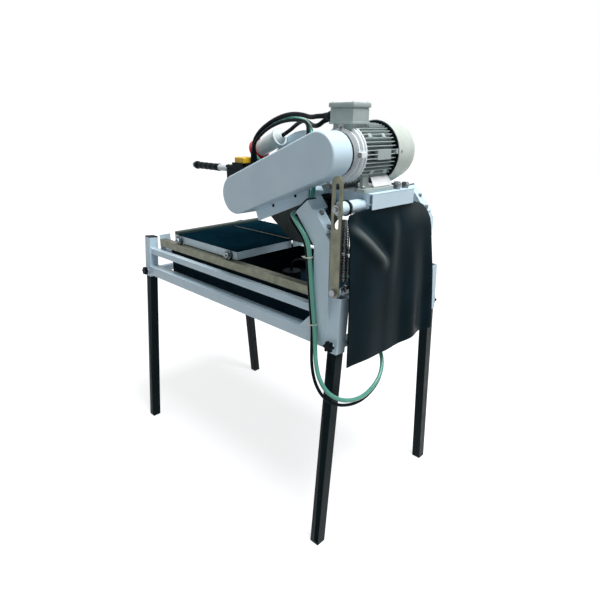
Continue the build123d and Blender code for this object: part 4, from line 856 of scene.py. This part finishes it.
# %% [markdown]
# ## Motor body
# The motor is a cast frame with thin cooling ribs all round, a stepped end shield held by four
# bolts, two cast soles on webs, and a raised pad on the ribs. Ribs could be a bump in the finish,
# but they are deep and cut the outline. So the barrel and the shield are turned, one rib is shaped
# and copied round the axis, and all of it is joined into one casting.

# %% Barrel, shield and ribs
MOTOR_X, MOTOR_Z, FRAME_NEAR, FRAME_FAR = 485.0, 1272.0, -190.0, -50.0
CORE_R, RIB_R, RIB_THICK, RIB_STEP = 60.0, 82.5, 2.6, 8
# The ribs within so many degrees of the top are short, to leave room for the terminal box.
RIB_NEAR, SHORT_RIB_NEAR, RIB_FAR, SHORT_WITHIN = -184, -128, -52, 30
EAR_DEG, COVER_SCREW_DEG = (0, 90, 180, 270), (4, 124, 244)
motor_axis, AWAY, TOWARDS = (MOTOR_X, 0, MOTOR_Z), (0, 1, 0), (0, -1, 0)
barrel = turned(
    [(FRAME_NEAR, 0), (FRAME_NEAR, CORE_R), (FRAME_FAR, CORE_R), (FRAME_FAR, 72),
     (FRAME_FAR + 8, 72), (FRAME_FAR + 8, 0)],
    motor_axis, AWAY, 96,
)
shield = turned(
    [(-222, 12.5), (-222, 48), (-220, 49.7), (-212, 50.5), (-207, 58), (-206, 66), (-204.5, 68),
     (-200.6, 68), (-200, 64), (-198.4, 64), (-198, 74), (-196.6, 76), (-191.8, 76), (-191, 75),
     (-190.8, 70), (-188.2, 70), (-188, 77.5), (-187, 78.6), (-183.4, 78.6), (-182.6, 77.6),
     (-182.6, 12.5), (-222, 12.5)],
    motor_axis, AWAY, 96,
)
ribs = []
for rib_near, short in ((RIB_NEAR, False), (SHORT_RIB_NEAR, True)):
    rib = block(
        (MOTOR_X + CORE_R - 2, rib_near, MOTOR_Z - RIB_THICK / 2),
        (MOTOR_X + RIB_R, RIB_FAR, MOTOR_Z + RIB_THICK / 2), 0.9,
    )
    angles = [a for a in range(0, 360, RIB_STEP) if (abs(a - 90) <= SHORT_WITHIN) == short]
    ribs += copies_round(rib, motor_axis, TOWARDS, angles)
print("ribs", len(ribs))

# %% Lugs, soles and webs, and the whole casting
SOLE_LOW, SOLE_TOP, WEB_TOP, SHIELD_Y = 1169, 1181, 1236, -183.2


def motor_lug(reach, low_y, high_y, half, round_mm, degrees):
    """A cast lug from the core out to a reach, copied to each angle."""
    lug = block(
        (MOTOR_X + CORE_R + 2, low_y, MOTOR_Z - half),
        (MOTOR_X + reach, high_y, MOTOR_Z + half), round_mm,
    )
    return copies_round(lug, motor_axis, TOWARDS, degrees)


lugs = motor_lug(79, -207, -184, 8, 2.5, EAR_DEG)
lugs += motor_lug(88.5, FRAME_FAR - 9, FRAME_FAR + 18, 7, 1.5, COVER_SCREW_DEG)
for turn_by, near in ((37, -168), (37, -105), (-36, -153), (-36, -88)):
    lugs += motor_lug(84, near, near + 15, 7, 2.0, (turn_by,))
pad = block((MOTOR_X + 70, -141, MOTOR_Z - 15), (MOTOR_X + 83.4, -78, MOTOR_Z + 13), 1.2)
feet = []
for way in (-1, 1):
    sole_x, web_x = MOTOR_X + 65 * way, MOTOR_X + 48 * way
    feet.append(block((sole_x - 15, FRAME_NEAR, SOLE_LOW), (sole_x + 15, FRAME_FAR, SOLE_TOP), 2.0))
    for low_y, high_y in ((-166, -138), (-62, -50)):
        feet.append(block((web_x - 6, low_y, SOLE_TOP - 3), (web_x + 6, high_y, WEB_TOP), 2.0))
motor_body = joined([barrel, shield, pad] + ribs + lugs + feet)
settle(motor_body, "motor_body", cast_grey, "head", 40)
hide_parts("motor_frame")
second_finish(motor_body, shield_grey, lambda spot: spot.y < SHIELD_Y and spot.z > SOLE_TOP + 4)

# %% [markdown]
# Hexagon bolts hold the shield's ears and the soles. A plain white plate stands on the sole and
# leans against the far web. It is made upright, where its size is easy to read, and then turned
# about its top edge.

# %% Motor bolts and foot plate
EAR_Y, EAR_REACH = -207, 71
motor_bolts = [
    hex_bolt(Vector((MOTOR_X, EAR_Y, MOTOR_Z)) + outwards(turn_by) * EAR_REACH, TOWARDS, 8)
    for turn_by in EAR_DEG
]
for way in (-1, 1):
    motor_bolts.append(hex_bolt((MOTOR_X + 66 * way, -177, SOLE_TOP), (0, 0, 1), 9))
settle(joined(motor_bolts), "motor_bolts", plated_bolt, "head", 30)
PLATE_X, PLATE_TOP, PLATE_LEAN = 540.4, 1209, 28
upright_plate = block((PLATE_X, -135, 1178.6), (PLATE_X + 1.5, -46, PLATE_TOP), 0.4)
foot_plate = copies_round(upright_plate, (PLATE_X, -90, PLATE_TOP), TOWARDS, (PLATE_LEAN,))
settle(joined(foot_plate), "motor_foot_plate", white_plate, "head", 30)

# %% [markdown]
# ## Terminal box and fan cover
# A cast box stands on a short neck on the motor, with a seam below its lid, a screw in each corner
# and two black glands that grip the cables. One block with a line painted round it would look flat,
# so neck, rim, case and lid are blocks of their own with a real gap for the seam. The fan cover is
# pressed sheet, held by three screws. Two black rings are painted shade: one in the fan cover's
# mouth and one on the shield's front, where dark gap lines show.

# %% Terminal box
BOX_LOW, BOX_SEAM, BOX_TOP = 1352.0, 1392.0, 1407.6
case = [
    block((450, -200, 1332), (520, -140, BOX_LOW + 3), 4.0),
    block((442, -208, BOX_LOW - 2), (528, -132, BOX_LOW + 5), 1.5),
    block((444, -206, BOX_LOW), (526, -134, BOX_SEAM - 0.6), 3.0),
    block((446, -204, BOX_SEAM - 2), (524, -136, BOX_SEAM + 2), 1.0),
    block((440.2, -209.8, BOX_SEAM + 0.4), (529.8, -130.2, BOX_TOP - 1.4), 4.0),
]
for corner_x in (449, 521):
    for corner_y in (-201, -139):
        case.append(pan_screw((corner_x, corner_y, BOX_TOP - 1.6), (0, 0, 1), 2.7))
terminal_case = settle(joined(case), "terminal_case", cast_grey, "head", 40)
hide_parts("terminal_box")
gland_nut = [(-2, 0), (-2, 15.5), (9, 15.5), (10, 14.5), (10, 0)]
gland_boot = [
    (9, 0), (9, 12.8), (12, 14), (28, 14), (33, 12.6), (37, 10.4), (50, 8.6), (56, 7.8), (56, 0),
]
glands = []
for gland_y, gland_z in ((-170, 1372), (-144.7, 1364)):
    for profile, sides in ((gland_nut, 6), (gland_boot, 40)):
        glands.append(turned(profile, (444.5, gland_y, gland_z), (-1, 0, 0), sides))
settle(joined(glands), "cable_glands", black_moulding, "head", 35)

# %% Fan cover screws and rings of painted shade
COVER_SCREW_Y, COVER_R = -38, 91.6
cover_screws = []
for turn_by in COVER_SCREW_DEG:
    out = outwards(turn_by)
    seat = Vector((MOTOR_X, COVER_SCREW_Y, MOTOR_Z)) + out * COVER_R
    cover_screws.append(pan_screw(seat, out, 4.2))
settle(joined(cover_screws), "fan_cover_screws", plated_bolt, "head", 30)
# Black rings of painted shade: one for the dark gap line between the belt guard's drum and the
# shield, one for the dark gap in the fan cover's mouth.
front_shade_ring = turned(
    [(-226, 40), (-226, 60.6), (-225.4, 61.2), (-218.6, 61.2), (-218, 60.6), (-218, 40), (-226, 40)],
    motor_axis, AWAY, 72,
)
mouth_shade_ring = turned(
    [(FRAME_FAR - 1, 70), (FRAME_FAR - 1, 87.4), (FRAME_FAR, 88.6), (FRAME_FAR + 8, 88.6),
     (FRAME_FAR + 8, 70), (FRAME_FAR - 1, 70)],
    motor_axis, AWAY, 96,
)
settle(joined([front_shade_ring, mouth_shade_ring]), "motor_shade_rings", black_moulding, "head", 35)

# %% [markdown]
# ## Supply plug
# The plug is an industrial inlet: a red grooved collar, a pale body and a gland ring that grips the
# cord. Plain cylinders would lose the grooves and rims that the eye reads first, so the outline of
# each part is turned about the plug's axis. The foot that holds it to the guard is a block.

# %% Supply plug
plug_at = tuple(plug_front)
collar = turned(
    [(22, 26), (2, 26), (0, 28), (0, 39), (1.5, 41), (10, 41), (11, 39.4), (13, 39.4), (14, 41),
     (22, 41), (24, 39), (24, 26), (22, 26)],
    plug_at, plug_way, 64,
)
shell = turned(
    [(4, 0), (4, 20), (10, 26.5), (24, 29.8), (60, 29.8), (61, 28.6), (64, 28.6), (65, 29.8),
     (118, 29.8), (131, 27), (131, 0)],
    plug_at, plug_way, 64,
)
gland_ring = turned(
    [(129, 0), (129, 32), (130.5, 33), (137.5, 33), (139, 32), (139, 0)], plug_at, plug_way, 18
)
relief = turned(
    [(138, 0), (138, 27), (142, 24), (147, 20.5), (150, 17), (155, 13), (155, 0)],
    plug_at, plug_way, 48,
)
foot_mid = plug_front + plug_way * 119
foot_block = block(foot_mid + Vector((-12, 22, -15)), foot_mid + Vector((12, 36, 15)), 1.5)
plug_body = [shell, gland_ring, relief]
plug_pieces = (
    settle(collar, "plug_collar", red_moulding, "head", 35),
    settle(joined(plug_body), "plug_shell", grey_moulding, "head", 30),
    settle(foot_block, "plug_foot", grey_moulding, "head", 35),
)
for piece in plug_pieces:
    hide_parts("supply_plug")

# %% [markdown]
# ## Switch and grip
# The switch is a black moulded case with a lid, a raised rim and screws, clamped on the handle bar.
# One bevelled block would be a dark lump, so lid and rim are blocks of their own that catch the
# light. The grip is soft plastic with finger grooves and a larger end, over a pale sleeve. Both are
# round, so each is turned from one outline.

# %% Switch case
LID_TOP, RIM_TOP = 1208.8, 1219
case = [
    block((-68, -183.5, 1153.5), (38.5, -116.5, 1197), 3.0),
    block((-66, -182, 1195), (37, -118, 1200), 1.0),
    block((-70, -184.8, 1198.2), (39.8, -115.2, LID_TOP), 2.5),
]
for low_x, low_y, high_y in (
    (-34, -183.4, -177.2), (-34, -122.8, -116.6), (26.2, -183.4, -116.6),
):
    case.append(block((low_x, low_y, LID_TOP - 2.8), (38.4, high_y, RIM_TOP), 1.6))
for screw_y in (-177, -123):
    case.append(pan_screw((-62, screw_y, LID_TOP - 0.2), (0, 0, 1), 3.2))
switch_case = settle(joined(case), "switch_case", black_moulding, "head", 35)
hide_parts("switch_box")

# %% Grip and sleeve
BAR_Y, BAR_Z, GRIP_START, GRIP_LENGTH = -150.0, 1192.0, -308, 156
GROOVES, GROOVE_START, GROOVE_STEP = 4, 28, 30
finger = [(0, 11.5), (3, 12.6), (8, 13.4), (20, 13.4), (25, 12.6), (28, 11.5)]
grip_line = [(0, 0), (0, 11), (2, 14), (6, 15.4), (14, 15.4), (20, 14), (26, 11.6)]
for groove in range(GROOVES):
    start = GROOVE_START + groove * GROOVE_STEP
    grip_line += [(start + step, radius) for step, radius in finger]
grip_line += [(149, 11.5), (150, 14.0), (155, 14.0), (GRIP_LENGTH, 12.8), (GRIP_LENGTH, 0)]
grip = turned(grip_line, (GRIP_START, BAR_Y, BAR_Z), (1, 0, 0), 48)
settle(grip, "finger_grip", black_moulding, "head", 40)
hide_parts("handle_grip")
sleeve = turned(
    [(0, 0), (0, 10.8), (1, 11.6), (60, 11.6), (61, 12.6), (68, 12.6), (69, 11.6), (82, 11.6),
     (82, 0)],
    (GRIP_START + GRIP_LENGTH, BAR_Y, BAR_Z), (1, 0, 0), 48,
)
settle(sleeve, "grip_sleeve", grey_moulding, "head", 35)

# %% [markdown]
# ## Curtain bar, bolts and caps
# A folded strip under the base's rear edge clamps the curtain's hem. It could be bent from one
# sheet, but three thin blocks give the same fold and keep its crisp corners. A hexagon bolt clamps
# the lift tube in the strap's slot, others hold the bearing pads on the slanted arms, and black caps
# close the arms' ends. The caps are made level and then turned onto the slant.

# %% Curtain bar and lift clamp
curtain_bar = joined([
    block((580.9, CLAMP_NEAR, 1124.2), (584.5, CLAMP_FAR, 1168.4), 0.8),
    block((571.5, CLAMP_NEAR, 1164.5), (584.5, CLAMP_FAR, 1168.6), 0.8),
    block((571.5, CLAMP_NEAR, 1136.8), (582, CLAMP_FAR, 1139.6), 0.8),
])
settle(curtain_bar, "curtain_bar", powder_coat, "head", 35)
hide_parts("head_hardware")
lift_clamp = hex_bolt((LIFT_X, -284.2, LIFT_Z), TOWARDS, 14.5, washer=2.2)
settle(lift_clamp, "lift_clamp_bolt", plated_bolt, "head", 30)
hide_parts("head_hardware")

# %% Bearing bolts and arm caps on the stand
PIVOT_X, PIVOT_Z, ARM_LEAN = 424.0, 1123.0, 39.5
arm_across, arm_up = outwards(ARM_LEAN), outwards(ARM_LEAN + 90)
bearing_bolts = []
for side in (-1, 1):
    for slide in (-37.5, -84.5):
        seat = Vector((PIVOT_X, 262 * side, PIVOT_Z)) + arm_up * slide + arm_across * 30
        bearing_bolts.append(hex_bolt(seat, arm_across, 9.5))
settle(joined(bearing_bolts), "bearing_bolts", plated_bolt, "frame", 30)
CAP_HALF, CAP_LIFT, CAP_THICK = 29.8, 0.6, 4.6
arm_end = Vector((PIVOT_X, 0, PIVOT_Z)) + arm_up * 12 - arm_across * 6
arm_caps = []
for low_y, high_y in ((-282.1, -242.5), (242.5, 282.1)):
    cap_low = (arm_end.x - CAP_HALF, low_y, arm_end.z + CAP_LIFT)
    cap_high = (arm_end.x + CAP_HALF, high_y, arm_end.z + CAP_LIFT + CAP_THICK)
    arm_caps += copies_round(block(cap_low, cap_high, 1.2), arm_end, TOWARDS, (ARM_LEAN,))
settle(joined(arm_caps), "arm_end_caps", black_moulding, "frame", 35)

# %% [markdown]
# ## Small parts of the head
# Two screws in lugs push on the motor and tighten the belt, two more hold the guard's back plate,
# and black seals close the pivot's ends and ring the lift tube. They are small, but bare holes and
# unfixed plates make a model look unfinished, so each is turned or built at its true place.

# %% Adjusters, screws and seals on the head
adjusters = []
for low_y, top_z in ((-36, 1191), (8, 1187)):
    screw_y, screw_z = low_y + 7, top_z - 8.5
    adjusters.append(block((555, low_y, 1168.6), (571, low_y + 14, top_z), 1.2))
    adjusters.append(hex_bolt((571, screw_y, screw_z), (1, 0, 0), 9))
    adjusters.append(rod((536, screw_y, screw_z), (1, 0, 0), 3.4, 20, 20, 0.4))
settle(joined(adjusters), "belt_adjusters", plated_bolt, "head", 30)
plate_screws = [pan_screw((x, -231.8, z), TOWARDS, 5.0) for x, z in ((237, 1103), (337, 1144))]
settle(joined(plate_screws), "back_plate_screws", black_enamel, "head", 30)
hub_seal = [
    (-17, 15.2), (1.2, 15.2), (1.4, 20), (0.6, 22), (0.6, 27), (1.4, 29), (0.2, 32.7),
    (-17, 32.7), (-17, 15.2),
]
tube_seal = [(0, 18.6), (0, 21.2), (1, 22), (5, 22), (6, 21.2), (6, 18.6), (0, 18.6)]
seals = [
    turned(hub_seal, (PIVOT_X, -193, PIVOT_Z), TOWARDS, 56),
    turned(hub_seal, (PIVOT_X, 53, PIVOT_Z), AWAY, 56),
    turned(tube_seal, (LIFT_X, SPRING_Y, LIFT_Z), AWAY, 48),
]
settle(joined(seals), "hub_seals", black_moulding, "head", 35)

# %% [markdown]
# ## Small parts of the carriage
# Bolts hold the wheels' axles, and two thin zinc strips edge the slot in the table. The far half of
# the mat gets a lighter copy of its finish, a painted reflection of the sky, and each wheel has a
# dark seal between its races. The lighter half and the seals are changes of surface and not of
# shape, so those faces only get a second finish.

# %% Bolts, slot edging and second finishes on the carriage
WHEELS, WHEEL_Z, AXLE_END_Y = {"front_wheels": -340, "rear_wheels": -10}, 892.5, 246.8
SEAL_IN, SEAL_OUT = 7, 14.2
SLOT_FRONT_X, SLOT_REAR_X, SLOT_LOW_Z, SLOT_TOP_Z, SLOT_Y = -344.6, 29.6, 908.2, 911.9, 58
wheel_bolts = [
    hex_bolt((wheel_x, AXLE_END_Y * side, WHEEL_Z), (0, side, 0), 9.5, washer=1.2)
    for wheel_x in WHEELS.values()
    for side in (-1, 1)
]
settle(joined(wheel_bolts), "wheel_bolts", plated_bolt, "carriage", 30)
slot_strips = [
    block((SLOT_FRONT_X, low_y, SLOT_LOW_Z), (SLOT_REAR_X, high_y, SLOT_TOP_Z), 0.3)
    for low_y, high_y in ((53.7, 55.0), (61.0, 62.3))
]
settle(joined(slot_strips), "slot_edging", zinc_plate, "carriage", 30)
# The far half of the mat: painted reflection, a lighter copy of the mat's finish.
second_finish(dressed["table_mat"], sky_lit_mat, lambda spot: spot.y > SLOT_Y)
for wheel_name, wheel_x in WHEELS.items():
    second_finish(
        dressed[wheel_name], black_moulding,
        lambda spot: SEAL_IN < math.hypot(spot.x - wheel_x, spot.z - WHEEL_Z) < SEAL_OUT,
    )

# %% [markdown]
# ## Weld beads and guard cover
# The stand is welded tube, and a painted bead runs along each joint. A plain bar would look like a
# moulding, so a bead is a short curve whose radius ripples from point to point, as the weld pool
# leaves it. On the far side of the blade guard, screws hold the side sheet and a round plate closes
# the hole over the blade's nut.

# %% Weld beads
BEAD_STEP, BEAD_THICK, BEAD_THIN = 2.5, 1.1, 0.7
SOCKET_X, COLUMN_FRONT, COLUMN_REAR = -523.5, 463.5, 523.5
LOWER_IN, LOWER_OUT, LOWER_LOW, LOWER_TOP = 242.3, 282.3, 711, 751
UPPER_IN, UPPER_OUT, UPPER_LOW, UPPER_TOP = 244.1, 269.1, 805, 830
CROSS_X, CROSS_HALF = (-480, 445), 12.5


def bead(start, end, radius):
    """A rippled weld from point to point."""
    start, end = Vector(start), Vector(end)
    count = max(8, round((end - start).length / BEAD_STEP))
    points = [start + (end - start) * step / (count - 1) for step in range(count)]
    made = bare_line("bead", points, 3)
    for step, control in enumerate(made.data.splines[0].points):
        control.radius = BEAD_THICK if step % 2 else BEAD_THIN
    thicken(made, radius, 2)
    return as_mesh(made)


beads = []
for side in (-1, 1):
    lower_in, lower_out, upper_in, upper_out = (
        side * y for y in (LOWER_IN, LOWER_OUT, UPPER_IN, UPPER_OUT)
    )
    runs = [
        ((SOCKET_X, lower_in, LOWER_TOP), (SOCKET_X, lower_out - side, LOWER_TOP), 2.2),
        ((SOCKET_X, lower_in, LOWER_LOW + 1), (SOCKET_X, lower_in, LOWER_TOP), 2.2),
        ((SOCKET_X, lower_out, LOWER_LOW + 1), (SOCKET_X, lower_out - side, LOWER_TOP), 1.6),
        ((COLUMN_FRONT, lower_in, LOWER_TOP), (COLUMN_FRONT, lower_out - 6 * side, LOWER_TOP), 2.2),
        ((COLUMN_REAR, side * 282.4, 716), (COLUMN_REAR, side * 271.0, 868), 1.8),
    ]
    for end_x in (SOCKET_X, COLUMN_FRONT):
        runs.append(((end_x, upper_in, UPPER_TOP), (end_x, upper_out, UPPER_TOP), 1.9))
        for run_y in (upper_in, upper_out):
            runs.append(((end_x, run_y, UPPER_LOW), (end_x, run_y, UPPER_TOP), 1.9))
    for cross_x in CROSS_X:
        for run_x in (cross_x - CROSS_HALF, cross_x + CROSS_HALF):
            runs.append(((run_x, upper_in, UPPER_LOW), (run_x, upper_in, UPPER_TOP - 1), 1.7))
    beads += [bead(*run) for run in runs]
settle(joined(beads), "weld_beads", powder_coat, "frame", 50)

# %% Guard screws and round plate
ARBOR_X, ARBOR_Z, GUARD_FACE, PLATE_THICK = 127.0, 1132.0, 86.0, 2.8
guard_screws = []
for angles, reach, face, radius in (
    ((-8, 28, 62, 96, 130, 166), 178, GUARD_FACE - 0.2, 5.0),
    ((45, 135, 225, 315), 43, GUARD_FACE + PLATE_THICK - 0.2, 3.4),
):
    for turn_by in angles:
        seat = Vector((ARBOR_X, face, ARBOR_Z)) + outwards(turn_by) * reach
        guard_screws.append(pan_screw(seat, AWAY, radius))
settle(joined(guard_screws), "guard_screws", plated_bolt, "head", 30)
round_plate = turned(
    [(-0.5, 0), (-0.5, 54), (2, 54), (PLATE_THICK, 53), (PLATE_THICK, 0)],
    (ARBOR_X, GUARD_FACE, ARBOR_Z), AWAY, 72,
)
settle(round_plate, "guard_round_plate", powder_coat, "head", 35)

# %% [markdown]
# ## Blade segments
# The blade's rim carries sintered diamond segments. They are already cut in the CAD blade, so they
# need no pieces of their own: the faces beyond a radius get a duller finish than the steel core.

# %% Blade segments
SEGMENT_R = 163
# Sintered metal bond with diamond grit: brownish, sandy and dull.
segment_bond = mottled("sintered_segment", "#5E5A52", "#46433E", 4, 0.8, 0.6, 0.3, metal=0.5)
second_finish(
    dressed["saw_blade"], segment_bond,
    lambda spot: math.hypot(spot.x - ARBOR_X, spot.z - ARBOR_Z) > SEGMENT_R,
)
print("blade finishes", len(dressed["saw_blade"].data.materials))

# %% [markdown]
# ## Cable ties
# Pale nylon ties hold the hose and the pump's cable together on the near column, each a flat band
# with a square head and a cut tail. A curve could be swept into the band, but a turned ring drawn in
# to an oval keeps its flat section. One square band goes round the column itself: a box without its
# ends, given a thin wall.


# %% Cable ties
def tie(at, way, reach, depth, tail):
    """An oval band round two lines side by side, with its head and tail."""
    band = turned(
        [(-1.8, reach), (1.8, reach), (2.0, reach + 0.5), (1.8, reach + 1.1), (-1.8, reach + 1.1),
         (-1.8, reach)],
        at, way, 40,
    )
    to_middle = Matrix.Translation(metres(at))
    draw_in = Matrix.Diagonal((1, depth / reach, 1, 1))
    band.matrix_world = to_middle @ draw_in @ to_middle.inverted()
    head_at = Vector(at) + Vector((-reach * 0.75, -depth * 0.8, 0))
    head = block(head_at - Vector((3, 2.2, 2.8)), head_at + Vector((3, 2.2, 2.8)), 0.6)
    end = block(head_at - Vector((tail, 0.6, 1.5)), head_at - Vector((2, -0.6, -1.5)), 0.4)
    return joined([band, head, end])


COLUMN_WAY, TIE_REACH, TIE_DEPTH, BAND_THICK = (-0.14, 0, 1), 13.4, 9.4, 0.8
stand_ties = [
    tie((449.5, -289, 984), COLUMN_WAY, TIE_REACH, TIE_DEPTH, 11),
    tie((472.5, -289, 778), COLUMN_WAY, TIE_REACH, TIE_DEPTH, 8),
]
column_band = box((462.6, -283.2, 812), (524.4, -241.4, 815.2))
bpy.ops.object.mode_set(mode="EDIT")
bpy.ops.mesh.select_all(action="DESELECT")
bpy.ops.object.mode_set(mode="OBJECT")
for face in column_band.data.polygons:
    face.select = abs(face.normal.z) > 0.5
bpy.ops.object.mode_set(mode="EDIT")
bpy.ops.mesh.delete(type="ONLY_FACE")
bpy.ops.object.mode_set(mode="OBJECT")
stand_ties.append(round_edges(give_wall(column_band, BAND_THICK), 0.3))
settle(joined(stand_ties), "hose_ties", tie_nylon, "frame", 35)

# %% [markdown]
# ## Floor and light
# The photograph is cut out on white, with the light high and from the motor's end, so the near
# sides are in soft shade. Strong lamps would whiten the floor, but they would bleach the object too.
# So a broad lamp stands high at the motor's end, a weak one fills the near side and another the
# rear. The floor and the world show white to the camera, in reflections and through clear pieces,
# and light the object only weakly. That way the floor keeps the object's shadow.


# %% Floor
def shown_rays(tree):
    """1 for rays from the camera, in reflections and through clear pieces, 0 for all others."""
    ray = add_node(tree, "ShaderNodeLightPath").outputs
    seen = add_node(
        tree, "ShaderNodeMath",
        {0: ray["Is Camera Ray"], 1: ray["Is Glossy Ray"]}, operation="MAXIMUM",
    )
    shown = add_node(
        tree, "ShaderNodeMath",
        {0: seen.outputs[0], 1: ray["Is Transmission Ray"]}, operation="MAXIMUM",
    )
    return shown.outputs[0]


FLOOR_GLOW, FAR_GLOW, NEAR_M, FAR_M = 0.72, 0.92, 0.8, 3.5
bpy.ops.mesh.primitive_plane_add(size=30, location=(0, 0, -0.0005))
floor = bpy.context.object
floor.name = "studio_floor"
# Matt pale studio paper: its glow rises to near white away from the object.
floor_paint, floor_tree, floor_shader, floor_place = start_material("pale_floor")
floor_away = add_node(floor_tree, "ShaderNodeVectorMath", {0: floor_place}, operation="LENGTH")
floor_level = add_node(
    floor_tree, "ShaderNodeMapRange",
    {"Value": floor_away.outputs["Value"], "From Min": NEAR_M, "From Max": FAR_M,
     "To Min": FLOOR_GLOW, "To Max": FAR_GLOW},
)
floor_glow = add_node(
    floor_tree, "ShaderNodeMath",
    {0: shown_rays(floor_tree), 1: floor_level.outputs["Result"]}, operation="MULTIPLY",
)
floor_shader.inputs["Base Color"].default_value = colour("#C8CACC")
floor_shader.inputs["Roughness"].default_value = 0.9
floor_shader.inputs["Emission Color"].default_value = (1, 1, 1, 1)
floor_tree.links.new(floor_glow.outputs[0], floor_shader.inputs["Emission Strength"])
floor.data.materials.append(floor_paint)
print("floor of", round(floor.dimensions.x), "m")


# %% Lamps and world
def soft_lamp(name, place, aim, size, power):
    bpy.ops.object.light_add(type="AREA", location=place)
    lamp = bpy.context.object
    lamp.name = name
    lamp.data.shape = "DISK"
    lamp.data.size = size
    lamp.data.energy = power
    lamp.rotation_euler = (Vector(aim) - Vector(place)).to_track_quat("-Z", "Y").to_euler()


# Place, aim and size in metres, power in watts.
soft_lamp("key_lamp", (1.4, -0.1, 4.0), (0.15, 0, 0.9), 2.0, 140)
soft_lamp("fill_lamp", (-0.6, -3.2, 2.2), (0, 0, 0.8), 2.5, 4.5)
soft_lamp("rear_lamp", (4.0, 0.6, 1.6), (0.3, 0, 0.9), 1.6, 10)
SKY_LIGHT, SKY_SHOWN = 0.22, 1.0
world = bpy.data.worlds.new("studio")
bpy.context.scene.world = world
world.use_nodes = True
sky = world.node_tree
sky_level = add_node(
    sky, "ShaderNodeMapRange",
    {"Value": shown_rays(sky), "From Min": 0.0, "From Max": 1.0,
     "To Min": SKY_LIGHT, "To Max": SKY_SHOWN},
)
backdrop = sky.nodes["Background"]
backdrop.inputs["Color"].default_value = (1, 1, 1, 1)
sky.links.new(sky_level.outputs["Result"], backdrop.inputs["Strength"])
bpy.context.scene.view_settings.view_transform = "Standard"
print("lamps", len(bpy.data.lights))
